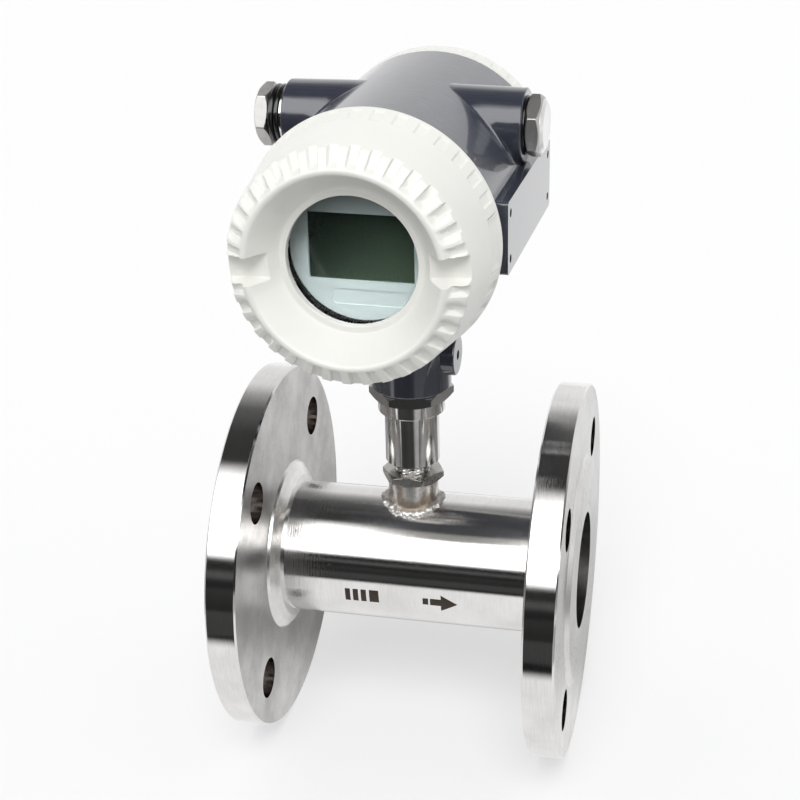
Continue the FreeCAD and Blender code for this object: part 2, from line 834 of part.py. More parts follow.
def make_bezel():
    """Shallow cap over the display board, with the opening for the display."""
    radius = bezel_diameter / 2
    back = display_board_front
    cap = cylinder(radius, Z * back, Z * bezel_front)
    cap = cap.cut(cylinder(radius - bezel_wall, Z * back, Z * (bezel_front - display_sink)))
    opening = Part.makeBox(screen_width, screen_height, bezel_depth,
                           Vector(screen_shift - screen_width / 2, screen_rise - screen_height / 2, back))
    recess = Part.makeBox(plate_recess_width, plate_recess_height, bezel_depth,
                          Vector(plate_recess_shift - plate_recess_width / 2,
                                 -plate_recess_drop - plate_recess_height / 2,
                                 bezel_front - plate_recess_depth))
    return in_front(cap.cut([opening, recess]))


def make_board_screws():
    """Heads of the screws that hold the display board to its standoffs."""
    return pins(screw_head_diameter / 2, display_board_front, display_board_front + screw_head_height)


def terminal_places():
    """Places of the terminals on the dividing wall, from left to right."""
    return [drum_point((number + 0.5) * terminal_pitch - terminal_strip_length / 2, -wall_back, -terminal_drop)
            for number in range(terminal_ways)]


def make_terminal_block():
    """Moulded terminal strip with a screw shaft and a wire hole for each way."""
    half = terminal_strip_length / 2
    block = Part.makeBox(terminal_strip_length, terminal_depth, terminal_height,
                         drum_point(-half, -wall_back, -terminal_drop - terminal_height / 2))
    ears = Part.makeBox(terminal_strip_length + 2 * terminal_ear, terminal_ear_depth, terminal_ear,
                        drum_point(-half - terminal_ear, -wall_back, -terminal_drop - terminal_ear / 2))
    shaft_radius = terminal_screw_diameter / 2 + 2 * fit_gap
    hollows = []
    for place in terminal_places():
        mouth = place + Y * terminal_depth
        hollows.append(cylinder(shaft_radius, mouth - Y * terminal_screw_sink, mouth))
        foot = place + Y * terminal_depth / 2 - Z * terminal_height / 2
        hollows.append(cylinder(terminal_wire_hole / 2, foot, foot + Z * terminal_wire_depth))
    return block.fuse(ears).cut(hollows).removeSplitter()


def make_terminal_screws():
    """Clamping screws of the terminal strip, slotted."""
    radius = terminal_screw_diameter / 2
    pieces = []
    for place in terminal_places():
        floor = place + Y * (terminal_depth - terminal_screw_sink)
        head = floor + Y * terminal_screw_length
        slot = Part.makeBox(2 * radius, terminal_slot_depth, terminal_slot_width,
                            head - Vector(radius, terminal_slot_depth, terminal_slot_width / 2))
        pieces.append(cylinder(radius, floor, head).cut(slot))
    return Part.makeCompound(pieces)


def make_terminal_fixings():
    """Two pan head screws that hold the terminal strip by its ears."""
    pieces = []
    for side in (-1, 1):
        right = side * (terminal_strip_length + terminal_ear) / 2
        seat = drum_point(right, terminal_ear_depth - wall_back, -terminal_drop)
        pieces.append(cylinder(terminal_fixing_diameter / 2, seat, seat + Y * terminal_fixing_height))
    return Part.makeCompound(pieces)


def make_signal_lead():
    """Lead from the pickup up the neck, bent forwards through the dividing wall."""
    bottom = neck_foot + Z * (magnet_bottom + magnet_length + lead_end_gap)
    corner = drum_point(0, 0, -lead_drop)
    share = lead_bend * (1 - math.cos(math.pi / 4))
    bend_start = corner - Z * lead_bend
    bend_end = corner - Y * lead_bend
    end = corner - Y * (main_board_back - lead_plug_length)
    path = Part.Wire([
        Part.LineSegment(bottom, bend_start).toShape(),
        Part.Arc(bend_start, corner - (Y + Z) * share, bend_end).toShape(),
        Part.LineSegment(bend_end, end).toShape(),
    ])
    section = Part.Wire([Part.makeCircle(lead_diameter / 2, bottom, Z)])
    return path.makePipeShell([section], True, False)


def make_lead_plug():
    """Plug of the signal lead on the back of the main board."""
    half = lead_plug_width / 2
    low = drum_point(-half, -main_board_back, -lead_drop - half)
    return Part.makeBox(lead_plug_width, lead_plug_length, lead_plug_width, low)


def on_left(shape):
    """Place a shape built outwards along +Z from the face of the left cable entry."""
    return aim(shape, -X, drum_point(-gland_side_reach, entry_back, entry_rise))


def on_right(shape):
    return aim(shape, X, drum_point(plug_side_reach, entry_back, entry_rise))


def make_gland_washer():
    return on_left(tube(washer_diameter / 2, entry_thread / 2 + thread_running_gap, Vector(),
                        Z * washer_thickness))


def make_gland_o_rings():
    ring_radius = entry_thread / 2 + o_ring_section / 2 + fit_gap
    rings = []
    for number in range(2):
        ring = torus_ring(ring_radius, o_ring_section)
        ring.translate(Z * (washer_thickness + o_ring_section * (number + 0.5)))
        rings.append(ring)
    return on_left(Part.makeCompound(rings))


def make_gland_screw():
    """Hollow compression screw of the cable gland, not yet screwed right home."""
    hex_start = washer_thickness + 2 * o_ring_section
    inner_end = gland_bush_length + thrust_ring_thickness - entry_depth
    shank = cylinder(entry_thread / 2 - thread_running_gap, Z * inner_end, Z * hex_start)
    head = hex_prism(fitting_flats, fitting_hex_height)
    head.rotate(Vector(), Z, gland_screw_angle)
    head.translate(Z * hex_start)
    screw = shank.fuse(head)
    screw = screw.cut(cylinder(gland_bore / 2, Z * inner_end, Z * (hex_start + fitting_hex_height)))
    return on_left(screw.removeSplitter())


def make_gland_bush():
    """Rubber bush that grips the cable, on the shoulder of the entry."""
    outer = entry_thread / 2 - thread_running_gap
    start = -entry_depth
    return on_left(tube(outer, gland_bush_bore / 2, Z * start, Z * (start + gland_bush_length)))


def make_thrust_ring():
    outer = entry_thread / 2 - thread_running_gap
    start = gland_bush_length - entry_depth
    return on_left(tube(outer, gland_bore / 2, Z * start, Z * (start + thrust_ring_thickness)))


def make_plug_gasket():
    inner = entry_thread / 2 + fit_gap
    outer = fitting_flats / 2 - plug_gasket_margin
    return on_right(tube(outer, inner, Vector(), Z * plug_gasket_thickness))


def make_blanking_plug():
    """Solid hexagon plug with a turned face."""
    head = hex_prism(fitting_flats, fitting_hex_height)
    head.rotate(Vector(), Z, plug_angle)
    head.translate(Z * plug_gasket_thickness)
    shank = cylinder(entry_thread / 2 - thread_running_gap, Z * -plug_shank_length, Z * plug_gasket_thickness)
    top = plug_gasket_thickness + fitting_hex_height
    face = fitting_flats / 2 - plug_dome_margin
    dome = Part.makeCone(face, face - plug_dome * 2, plug_dome, Z * top)
    return on_right(head.fuse([shank, dome]).removeSplitter())


inlet = (Vector(), X)
outlet = (X * face_to_face, -X)

pipe_parts = {
    "measuring_tube": make_measuring_tube(),
    "inlet_flange": make_flange(*inlet),
    "outlet_flange": make_flange(*outlet),
    "inlet_guide_ring": make_guide_ring(*inlet),
    "outlet_guide_ring": make_guide_ring(*outlet),
    "inlet_guide_hub": make_guide_hub(*inlet),
    "outlet_guide_hub": make_guide_hub(*outlet),
    "inlet_guide_vanes": make_guide_vanes(*inlet),
    "outlet_guide_vanes": make_guide_vanes(*outlet),
    "inlet_bush": make_bush(*inlet),
    "outlet_bush": make_bush(*outlet),
    "inlet_thrust_pad": make_thrust_pad(*inlet),
    "outlet_thrust_pad": make_thrust_pad(*outlet),
    "inlet_circlip": make_circlip(*inlet),
    "outlet_circlip": make_circlip(*outlet),
    "rotor": make_rotor(),
    "rotor_shaft": make_rotor_shaft(),
    "pickup_boss": make_pickup_boss(),
    "pickup_stem": make_pickup_stem(),
    "pickup_pole_piece": make_pole_piece(),
    "pickup_magnet": make_magnet(),
    "pickup_coil": make_coil(),
    "lower_lock_nut": make_lower_nut(),
    "upper_lock_nut": make_upper_nut(),
}
head_parts = {
    "housing": make_housing(),
    "front_cover": make_front_cover(),
    "front_cover_seal": place_front(make_cover_seal()),
    "window_gasket": make_window_gasket(),
    "window_glass": make_window_glass(),
    "window_ring": make_window_ring(),
    "rear_cover": make_rear_cover(),
    "rear_cover_seal": place_rear(make_cover_seal()),
    "main_board": make_main_board(),
    "board_standoffs": make_rear_standoffs(),
    "display_standoffs": make_front_standoffs(),
    "display_board": make_display_board(),
    "display_panel": make_display_panel(),
    "display_bezel": make_bezel(),
    "display_screws": make_board_screws(),
    "terminal_block": make_terminal_block(),
    "terminal_screws": make_terminal_screws(),
    "terminal_fixings": make_terminal_fixings(),
    "signal_lead": make_signal_lead(),
    "lead_plug": make_lead_plug(),
    "gland_washer": make_gland_washer(),
    "gland_o_rings": make_gland_o_rings(),
    "gland_screw": make_gland_screw(),
    "gland_thrust_ring": make_thrust_ring(),
    "gland_bush": make_gland_bush(),
    "plug_gasket": make_plug_gasket(),
    "blanking_plug": make_blanking_plug(),
}
for shape in head_parts.values():
    shape.rotate(neck_foot, Z, -head_turn)

os.makedirs("parts", exist_ok=True)
for name, shape in (pipe_parts | head_parts).items():
    if not shape.isValid():
        print("not valid:", name)
    shape.exportStep(os.path.join("parts", name + ".step"))
    print(name, len(shape.Solids), "solids, volume", round(shape.Volume / 1000, 2), "cm3")
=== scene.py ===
import bpy
import bmesh
import json
import math
from mathutils import Matrix, Vector

# Turbine flow meter. Pieces are drawn in millimetres about the Z axis, then put in place in metres.
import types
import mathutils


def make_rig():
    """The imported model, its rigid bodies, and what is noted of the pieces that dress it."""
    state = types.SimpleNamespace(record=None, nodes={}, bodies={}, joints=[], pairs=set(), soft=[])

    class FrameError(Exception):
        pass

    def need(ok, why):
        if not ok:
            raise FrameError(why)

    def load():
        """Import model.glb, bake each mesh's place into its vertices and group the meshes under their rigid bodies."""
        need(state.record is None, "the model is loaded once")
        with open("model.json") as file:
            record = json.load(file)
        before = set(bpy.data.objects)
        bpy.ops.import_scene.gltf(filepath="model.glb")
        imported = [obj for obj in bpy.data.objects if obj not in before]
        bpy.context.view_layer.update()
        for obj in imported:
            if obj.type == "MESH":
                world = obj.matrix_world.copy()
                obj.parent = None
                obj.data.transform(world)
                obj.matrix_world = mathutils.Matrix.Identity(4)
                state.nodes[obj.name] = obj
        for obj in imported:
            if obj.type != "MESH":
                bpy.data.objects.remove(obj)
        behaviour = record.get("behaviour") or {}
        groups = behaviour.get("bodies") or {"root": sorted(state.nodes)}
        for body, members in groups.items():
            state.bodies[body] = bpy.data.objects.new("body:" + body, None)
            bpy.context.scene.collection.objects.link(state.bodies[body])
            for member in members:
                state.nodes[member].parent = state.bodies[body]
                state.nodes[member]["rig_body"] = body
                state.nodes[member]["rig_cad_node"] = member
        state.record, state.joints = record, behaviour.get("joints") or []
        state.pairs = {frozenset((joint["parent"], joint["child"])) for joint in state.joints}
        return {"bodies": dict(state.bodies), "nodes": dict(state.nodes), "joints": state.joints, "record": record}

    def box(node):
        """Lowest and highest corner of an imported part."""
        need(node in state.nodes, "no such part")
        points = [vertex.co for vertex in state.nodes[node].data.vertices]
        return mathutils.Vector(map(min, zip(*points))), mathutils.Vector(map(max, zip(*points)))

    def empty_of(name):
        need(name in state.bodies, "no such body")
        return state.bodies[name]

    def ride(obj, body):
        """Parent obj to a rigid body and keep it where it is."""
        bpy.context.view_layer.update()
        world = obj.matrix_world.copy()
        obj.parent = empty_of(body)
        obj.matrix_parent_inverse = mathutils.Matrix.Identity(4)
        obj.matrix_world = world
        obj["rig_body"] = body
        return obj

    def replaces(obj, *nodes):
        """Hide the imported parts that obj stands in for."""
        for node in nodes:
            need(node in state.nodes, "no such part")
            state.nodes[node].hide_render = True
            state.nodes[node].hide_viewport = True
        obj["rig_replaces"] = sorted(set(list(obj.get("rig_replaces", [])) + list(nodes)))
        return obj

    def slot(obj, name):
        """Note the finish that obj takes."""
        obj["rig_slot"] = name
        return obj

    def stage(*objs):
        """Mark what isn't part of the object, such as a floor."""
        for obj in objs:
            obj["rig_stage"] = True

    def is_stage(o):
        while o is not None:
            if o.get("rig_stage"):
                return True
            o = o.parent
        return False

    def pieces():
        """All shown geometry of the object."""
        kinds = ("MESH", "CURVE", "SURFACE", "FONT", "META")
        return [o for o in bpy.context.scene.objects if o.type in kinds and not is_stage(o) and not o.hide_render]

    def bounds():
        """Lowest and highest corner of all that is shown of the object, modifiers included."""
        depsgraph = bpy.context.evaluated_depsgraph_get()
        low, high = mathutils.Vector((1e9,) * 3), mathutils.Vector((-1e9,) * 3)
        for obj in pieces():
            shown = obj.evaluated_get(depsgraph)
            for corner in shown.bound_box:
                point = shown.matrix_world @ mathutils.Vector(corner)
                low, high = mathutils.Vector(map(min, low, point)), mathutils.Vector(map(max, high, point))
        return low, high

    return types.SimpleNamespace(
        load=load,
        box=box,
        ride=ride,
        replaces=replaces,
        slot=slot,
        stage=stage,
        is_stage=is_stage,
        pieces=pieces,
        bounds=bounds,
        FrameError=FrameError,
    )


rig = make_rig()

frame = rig.load()
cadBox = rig.bounds()
mm = 0.001
xAxis = Vector((1, 0, 0))
yAxis = Vector((0, 1, 0))
zAxis = Vector((0, 0, 1))


def middle(node):
    low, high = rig.box(node)
    return (low + high) / 2 / mm


# The head looks a little towards the inlet. Its pieces are drawn straight and swung about the neck.

neckX = middle("pickup_stem").x
headZ = middle("front_cover").z
neckFoot = Vector((neckX, 0, 0))
headCentre = Vector((neckX, 0, headZ))
joints = {joint["name"]: joint for joint in frame["joints"]}
frontAxis = joints["front_cover_turn"]["axis"]
headTurn = math.atan2(frontAxis[0], -frontAxis[1])
toNeck = Matrix.Translation((neckX * mm, 0, 0))
headSwing = toNeck @ Matrix.Rotation(headTurn, 4, "Z") @ toNeck.inverted()
bodyOf = {node: body for body, nodes in frame["record"]["behaviour"]["bodies"].items() for node in nodes}
slotOf = {part["node"]: part["material_slot"] for part in frame["record"]["subparts"]}


def home(name):
    # Where a joint of the head is, in millimetres, before the swing.
    return headSwing.inverted() @ Vector(joints[name]["pos_m"]) / mm


print("frame loaded, head axis at", round(headZ, 2))


# Shapes

def aim(direction, place):
    # Puts a piece drawn along +Z so that it runs along direction from place, in metres.
    turn = zAxis.rotation_difference(direction).to_matrix().to_4x4()
    return Matrix.Scale(mm, 4) @ Matrix.Translation(place) @ turn


def rounded(corners, arcSteps=4):
    # Outline of (radius, height, rounding): each rounded corner becomes an arc.
    outline = []
    for number, (radius, height, rounding) in enumerate(corners):
        corner = Vector((radius, height))
        if rounding <= 0:
            outline.append(corner)
            continue
        before = Vector(corners[number - 1][:2]) - corner
        after = Vector(corners[(number + 1) % len(corners)][:2]) - corner
        half = before.angle(after) / 2
        reach = min(rounding / math.tan(half), before.length * 0.49, after.length * 0.49)
        size = reach * math.tan(half)
        centre = corner + (before.normalized() + after.normalized()).normalized() * (size / math.sin(half))
        start = corner + before.normalized() * reach - centre
        end = corner + after.normalized() * reach - centre
        sweep = start.angle_signed(end)
        for step in range(arcSteps + 1):
            turn = Matrix.Rotation(-sweep * step / arcSteps, 2)
            outline.append(centre + turn @ start)
    return outline


def points(*corners):
    return [Vector(corner) for corner in corners]


def evenSteps(outline, longest, busy):
    # Divides the first busy sides of an outline, so that no step there is longer than longest.
    divided = []
    for number, point in enumerate(outline):
        following = outline[(number + 1) % len(outline)]
        parts = max(1, math.ceil((following - point).length / longest)) if number < busy else 1
        divided += [point.lerp(following, part / parts) for part in range(parts)]
    return divided


def evenAngles(count):
    return [2 * math.pi * number / count for number in range(count)]


def lathe(name, outline, columns=96, angleAt=None):
    # Turns a closed outline about Z. angleAt(column, radius) bends the columns where it is given.
    shape = bmesh.new()
    angles = evenAngles(columns)
    rings = []
    for radius, height in outline:
        if radius == 0:
            rings.append([shape.verts.new((0, 0, height))])
            continue
        ring = []
        for column in range(columns):
            angle = angleAt(column, radius) if angleAt else angles[column]
            ring.append(shape.verts.new((radius * math.cos(angle), radius * math.sin(angle), height)))
        rings.append(ring)
    for number, ring in enumerate(rings):
        other = rings[(number + 1) % len(rings)]
        if len(ring) == 1 and len(other) == 1:
            continue
        for column in range(columns):
            following = (column + 1) % columns
            corners = [ring[column % len(ring)], ring[following % len(ring)],
                       other[following % len(other)], other[column % len(other)]]
            corners = [corner for spot, corner in enumerate(corners) if corner not in corners[:spot]]
            shape.faces.new(corners)
    bmesh.ops.recalc_face_normals(shape, faces=shape.faces)
    return solid(name, shape)


def rod(name, radius, low, high):
    return lathe(name, points((0, low), (radius, low), (radius, high), (0, high)), 48)


def link(name, data):
    piece = bpy.data.objects.new(name, data)
    bpy.context.scene.collection.objects.link(piece)
    return piece


def solid(name, shape):
    # The object of a finished bmesh.
    mesh = bpy.data.meshes.new(name)
    shape.to_mesh(mesh)
    shape.free()
    return link(name, mesh)


def prism(name, corners, height):
    # Straight block over a flat outline.
    shape = bmesh.new()
    floor = [shape.verts.new((x, y, 0)) for x, y in corners]
    roof = [shape.verts.new((x, y, height)) for x, y in corners]
    shape.faces.new(floor[::-1])
    shape.faces.new(roof)
    for number in range(len(corners)):
        following = (number + 1) % len(corners)
        shape.faces.new([floor[number], floor[following], roof[following], roof[number]])
    return solid(name, shape)


def baked(piece):
    # Replaces a piece's mesh with what its modifiers make of it.
    graph = bpy.context.evaluated_depsgraph_get()
    graph.update()
    result = bpy.data.meshes.new_from_object(piece.evaluated_get(graph))
    piece.modifiers.clear()
    piece.data = result
    return piece


def cut(piece, tool):
    # Takes the tool away from a piece.
    change = piece.modifiers.new("cut", "BOOLEAN")
    change.operation = "DIFFERENCE"
    change.solver = "EXACT"
    change.object = tool
    baked(piece)
    bpy.data.objects.remove(tool)
    return piece


def join(name, pieces):
    # Joins pieces into one mesh, with their material slots kept.
    shape = bmesh.new()
    materials = []
    for piece in pieces:
        start = len(shape.faces)
        places = []
        for material in piece.data.materials:
            if material not in materials:
                materials.append(material)
            places.append(materials.index(material))
        shape.from_mesh(piece.data)
        shape.faces.ensure_lookup_table()
        for face in shape.faces[start:]:
            if places:
                face.material_index = places[face.material_index]
    for piece in pieces:
        bpy.data.objects.remove(piece)
    joined = solid(name, shape)
    for material in materials:
        joined.data.materials.append(material)
    return joined


def shadeByAngle(mesh, limit):
    shape = bmesh.new()
    shape.from_mesh(mesh)
    for face in shape.faces:
        face.smooth = True
    for edge in shape.edges:
        edge.smooth = len(edge.link_faces) == 2 and edge.calc_face_angle(0) < math.radians(limit)
    shape.to_mesh(mesh)
    shape.free()


def settle(piece, limit):
    # Clean normals, with the sharp edges kept.
    shadeByAngle(piece.data, limit)
    weighted = piece.modifiers.new("normals", "WEIGHTED_NORMAL")
    weighted.keep_sharp = True
    return baked(piece)


def place(piece, direction=zAxis, spot=Vector((0, 0, 0)), limit=35, swing=Matrix.Identity(4)):
    # Moves a piece that was drawn along +Z to its place.
    piece.data.transform(swing @ aim(direction, spot))
    return settle(piece, limit)


def placeOnHead(piece, direction, joint, limit):
    return place(piece, direction, home(joint), limit, headSwing)


def turned(piece, degrees):
    piece.data.transform(Matrix.Rotation(math.radians(degrees), 4, "Z"))
    return piece


def softEdges(piece, width, segments=2, limit=40):
    edges = piece.modifiers.new("edges", "BEVEL")
    edges.width = width
    edges.segments = segments
    edges.limit_method = "ANGLE"
    edges.angle_limit = math.radians(limit)
    return baked(piece)


def coat(piece, look):
    piece.data.materials.clear()
    piece.data.materials.append(looks[look])
    return piece


def paint(piece, other, *choices):
    # Gives each face of a piece drawn along +Z the first look whose test it passes, or else the other look.
    piece.data.materials.clear()
    for look in [look for look, test in choices] + [other]:
        piece.data.materials.append(looks[look])
    for face in piece.data.polygons:
        radius = math.hypot(face.center.x, face.center.y)
        passed = [test(radius, face.center.z, face.normal) for look, test in choices] + [True]
        face.material_index = passed.index(True)


def attach(piece, node):
    # Makes a piece ride with a node and take its slot.
    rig.ride(piece, bodyOf[node])
    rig.slot(piece, slotOf[node])


def finish(piece, *nodes):
    # Makes a piece stand for the nodes.
    attach(piece, nodes[0])
    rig.replaces(piece, *nodes)


sameSpot = 0.002    # millimetres
sameFace = 0.4      # degrees


def merged(node):
    # Copy of a CAD node, its triangles joined into whole faces.
    words = node.split("_")
    name = words[0] + "".join(word.capitalize() for word in words[1:])
    shape = bmesh.new()
    shape.from_mesh(frame["nodes"][node].data)
    bmesh.ops.remove_doubles(shape, verts=shape.verts, dist=sameSpot * mm)
    bmesh.ops.dissolve_limit(shape, angle_limit=math.radians(sameFace), verts=shape.verts, edges=shape.edges)
    return solid(name, shape)


def dress(node, look, edge=0.0, limit=32):
    # Finished copy of a CAD node, with its edges eased.
    piece = merged(node)
    if edge:
        softEdges(piece, edge * mm)
    settle(coat(piece, look), limit)
    finish(piece, node)


# Nodes

def arithmetic(operation, swapped=False):
    def method(self, other):
        return sums(operation, other, self) if swapped else sums(operation, self, other)

    return method


class Wire:
    # An output of a node. Arithmetic on it adds nodes, so a rule reads as a formula.
    def __init__(self, socket):
        self.socket = socket
        self.tree = socket.id_data

    __add__ = __radd__ = arithmetic("ADD")
    __mul__ = __rmul__ = arithmetic("MULTIPLY")
    __sub__ = arithmetic("SUBTRACT")
    __rsub__ = arithmetic("SUBTRACT", swapped=True)
    __truediv__ = arithmetic("DIVIDE")
    __rtruediv__ = arithmetic("DIVIDE", swapped=True)
    __pow__ = arithmetic("POWER")
    __gt__ = arithmetic("GREATER_THAN")

    def __abs__(self):
        return sums("ABSOLUTE", self)

    def __round__(self):
        return sums("ROUND", self)


def wires(node):
    return {output.name: Wire(output) for output in node.outputs}


def feed(target, value):
    # Links an input to a wire, or sets it to a fixed value.
    if isinstance(value, Wire):
        value.tree.links.new(value.socket, target)
    else:
        target.default_value = value


def setInputs(node, **values):
    for key, value in values.items():
        feed(node.inputs[key.replace("_", " ")], value)


def addNode(tree, kind, **values):
    # Adds a node with its inputs set by name, and gives its outputs in their order.
    node = tree.nodes.new(kind)
    setInputs(node, **values)
    return [Wire(output) for output in node.outputs]


def sums(operation, *values):
    # One step of arithmetic. At least one of the values is a wire.
    tree = next(value.tree for value in values if isinstance(value, Wire))
    node = tree.nodes.new("ShaderNodeMath")
    node.operation = operation
    for target, value in zip(node.inputs, values):
        feed(target, value)
    return Wire(node.outputs[0])


def hypot(first, second):
    return sums("SQRT", first ** 2 + second ** 2)


def spread(value, fromLow, fromHigh, toLow=0.0, toHigh=1.0, smooth=True):
    # Maps one range of a value to another.
    node = value.tree.nodes.new("ShaderNodeMapRange")
    node.interpolation_type = "SMOOTHSTEP" if smooth else "LINEAR"
    setInputs(node, Value=value, From_Min=fromLow, From_Max=fromHigh, To_Min=toLow, To_Max=toHigh)
    return Wire(node.outputs["Result"])


def chosen(share, first, second):
    return share * (first - second) + second


def split(spot):
    return addNode(spot.tree, "ShaderNodeSeparateXYZ", Vector=spot)


def spotAt(x, y, z):
    return addNode(x.tree, "ShaderNodeCombineXYZ", X=x, Y=y, Z=z)[0]


def blendColor(amount, first, second):
    # A Mix node has inputs for every kind of data. 6 and 7 are its colours.
    node = amount.tree.nodes.new("ShaderNodeMix")
    node.data_type = "RGBA"
    feed(node.inputs[0], amount)
    for number, colour in ((6, first), (7, second)):
        node.inputs[number].default_value = (*colour, 1)
    return Wire(node.outputs[2])


def objectSpot(tree, stretch=(1, 1, 1), shift=(0, 0, 0), turn=(0, 0, 0)):
    coordinates = wires(tree.nodes.new("ShaderNodeTexCoord"))["Object"]
    return addNode(tree, "ShaderNodeMapping", Vector=coordinates, Location=shift, Rotation=turn,
                   Scale=stretch)[0]


def headSpot(tree):
    # Coordinates from the middle of the drum, with the drum along Y.
    back = Matrix.Rotation(-headTurn, 3, "Z")
    return objectSpot(tree, shift=-(back @ (headCentre * mm)), turn=(0, 0, -headTurn))


def cloud(spot, scale, detail=3.0, roughness=0.5):
    return addNode(spot.tree, "ShaderNodeTexNoise", Vector=spot, Scale=scale, Detail=detail,
                   Roughness=roughness)[0]


def relief(height, strength, distance, **under):
    return addNode(height.tree, "ShaderNodeBump", Height=height, Strength=strength, Distance=distance,
                   **under)[0]


def mixShaders(tree, share, first, second):
    # Shows a blend of two shaders.
    mix = tree.nodes.new("ShaderNodeMixShader")
    for target, value in zip(mix.inputs, (share, Wire(first.outputs[0]), Wire(second.outputs[0]))):
        feed(target, value)
    feed(tree.nodes["Material Output"].inputs["Surface"], Wire(mix.outputs[0]))


def newMaterial(name, **values):
    material = bpy.data.materials.new(name)
    material.use_nodes = True
    surface = material.node_tree.nodes["Principled BSDF"]
    setInputs(surface, **values)
    return material, material.node_tree, surface


# Materials

midNoise = (0.3, 0.7)       # most of a cloud lies between these
ivoryLook = {"colour": (0.850, 0.850, 0.808), "shade": (0.815, 0.815, 0.772), "gloss": (0.30, 0.38),
             "patches": 28, "ripples": 220}


def ivoryPaint():
    look = ivoryLook
    material, tree, surface = newMaterial("ivoryPaint", Coat_Weight=0.25, Coat_Roughness=0.06)
    spot = objectSpot(tree)
    patches = cloud(spot, look["patches"])
    setInputs(surface, Base_Color=blendColor(spread(patches, *midNoise), look["colour"], look["shade"]),
              Roughness=spread(patches, *midNoise, *look["gloss"]),
              Normal=relief(cloud(spot, look["ripples"], 1, 0.4), 0.05, 0.0004))
    return material


slateLook = {"colour": (0.034, 0.038, 0.054), "worn": (0.080, 0.087, 0.112), "wear": (0.35, 0.72),
             "drumRadius": 48.5, "drumMargin": 0.35, "roll": 0.006, "grooves": 2600, "streaks": 900,
             "peel": 700}


def slatePaint():
    # Enamel over a casting. Only the drum was turned, so only there the tool marks show through.
    look = slateLook
    material, tree, surface = newMaterial("slatePaint", Coat_Weight=0.85, Coat_Roughness=0.04, Coat_IOR=1.6)
    x, y, z = split(headSpot(tree))
    drum = sums("COMPARE", hypot(x, z), look["drumRadius"] * mm, look["drumMargin"] * mm)
    rolled = spotAt(sums("ARCTAN2", x, z) * look["roll"], y, 0.0)
    grooves = cloud(rolled, look["grooves"], 4, 0.7)
    tone = spread(cloud(rolled, look["streaks"], 5, 0.75), *look["wear"])
    peel = relief(cloud(objectSpot(tree), look["peel"], 2), 0.06, 0.0003)
    setInputs(surface, Base_Color=blendColor(tone * (drum * 0.8 + 0.2), look["colour"], look["worn"]),
              Roughness=drum * 0.08 + 0.20, Normal=relief(grooves * drum, 0.45, 0.00014, Normal=peel))
    return material


steelLook = {"ringRoll": 0.002, "patches": 45, "lineShare": 0.4, "stainShare": 0.6, "gloss": (1.25, 0.85)}


def steel(name, colour, dark, roughness, streaks, direction, strength, blotch=0.0):
    # Bare steel with fine marks. direction stretches the marks, or turns them into rings about the pipe.
    look = steelLook
    material, tree, surface = newMaterial(name, Metallic=1.0)
    if direction == "rings":
        x, y, z = split(objectSpot(tree))
        spot = spotAt(hypot(y, z), sums("ARCTAN2", y, z) * look["ringRoll"], 0.0)
    else:
        spot = objectSpot(tree, stretch=direction)
    lines = cloud(spot, streaks, 5, 0.65)
    patches = cloud(objectSpot(tree), look["patches"], 4, 0.6)
    amount = lines * look["lineShare"] + 0.3 + (patches - 0.5) * (look["stainShare"] + blotch)
    gloss = [roughness * share for share in look["gloss"]]
    setInputs(surface, Base_Color=blendColor(spread(amount, *midNoise), dark, colour),
              Roughness=spread(amount, *midNoise, *gloss), Normal=relief(lines, strength, 0.0001))
    return material


def rubber():
    material, tree, surface = newMaterial("blackRubber", Roughness=0.16, Coat_Weight=0.6, Coat_Roughness=0.05)
    spot = objectSpot(tree)
    setInputs(surface, Base_Color=blendColor(cloud(spot, 300), (0.004, 0.004, 0.005), (0.011, 0.011, 0.012)),
              Normal=relief(cloud(spot, 900), 0.10, 0.0002))
    return material


def plain(name, colour, other, roughness, scale, metallic=0.0, strength=0.08):
    # A moulded or plated finish with a slight change of tone.
    material, tree, surface = newMaterial(name, Metallic=metallic)
    spot = objectSpot(tree)
    tone = cloud(spot, scale, 4, 0.6)
    setInputs(surface, Base_Color=blendColor(spread(tone, *midNoise), colour, other),
              Roughness=spread(tone, *midNoise, roughness - 0.04, roughness + 0.06),
              Normal=relief(cloud(spot, scale * 6), strength, 0.0002))
    return material


def windowPane():
    # Glass with faint smears. It casts no shadow, so that the display behind it is lit.
    material, tree, surface = newMaterial("windowPane", Base_Color=(0.97, 1.0, 0.99, 1),
                                          Transmission_Weight=1.0,
                                          IOR=1.45)
    smears = cloud(objectSpot(tree), 35, 5, 0.6)
    setInputs(surface, Roughness=spread(smears, 0.5, 0.8, 0.0, 0.025))
    rays = wires(tree.nodes.new("ShaderNodeLightPath"))
    mixShaders(tree, rays["Is Shadow Ray"], surface, tree.nodes.new("ShaderNodeBsdfTransparent"))
    return material


displayLook = {"dark": (0.011, 0.019, 0.014), "light": (0.078, 0.112, 0.080), "fade": (-0.028, 0.022),
               "grain": 1500}


def displayGlass():
    # Unlit display: dark green, with painted light and shade: lighter towards its lower right corner, darker towards
    # the upper left.
    look = displayLook
    material, tree, surface = newMaterial("displayGlass", Roughness=0.10, Coat_Weight=0.5,
                                          Coat_Roughness=0.03)
    x, y, z = split(objectSpot(tree, shift=(0, 0, -headCentre.z * mm)))
    # Painted shade and light: the display darkens towards the upper left and lightens towards the lower right.
    fade = spread(x - neckX * mm - z, *look["fade"])
    amount = fade * 0.7 + cloud(objectSpot(tree), look["grain"], 2) * 0.25
    setInputs(surface, Base_Color=blendColor(amount, look["dark"], look["light"]))
    return material


def etchedMark():
    material, tree, surface = newMaterial("etchedMark", Metallic=0.6, Roughness=0.5)
    tone = cloud(objectSpot(tree), 1400, 3, 0.6)
    setInputs(surface, Base_Color=blendColor(tone, (0.020, 0.014, 0.010), (0.085, 0.062, 0.048)))
    return material


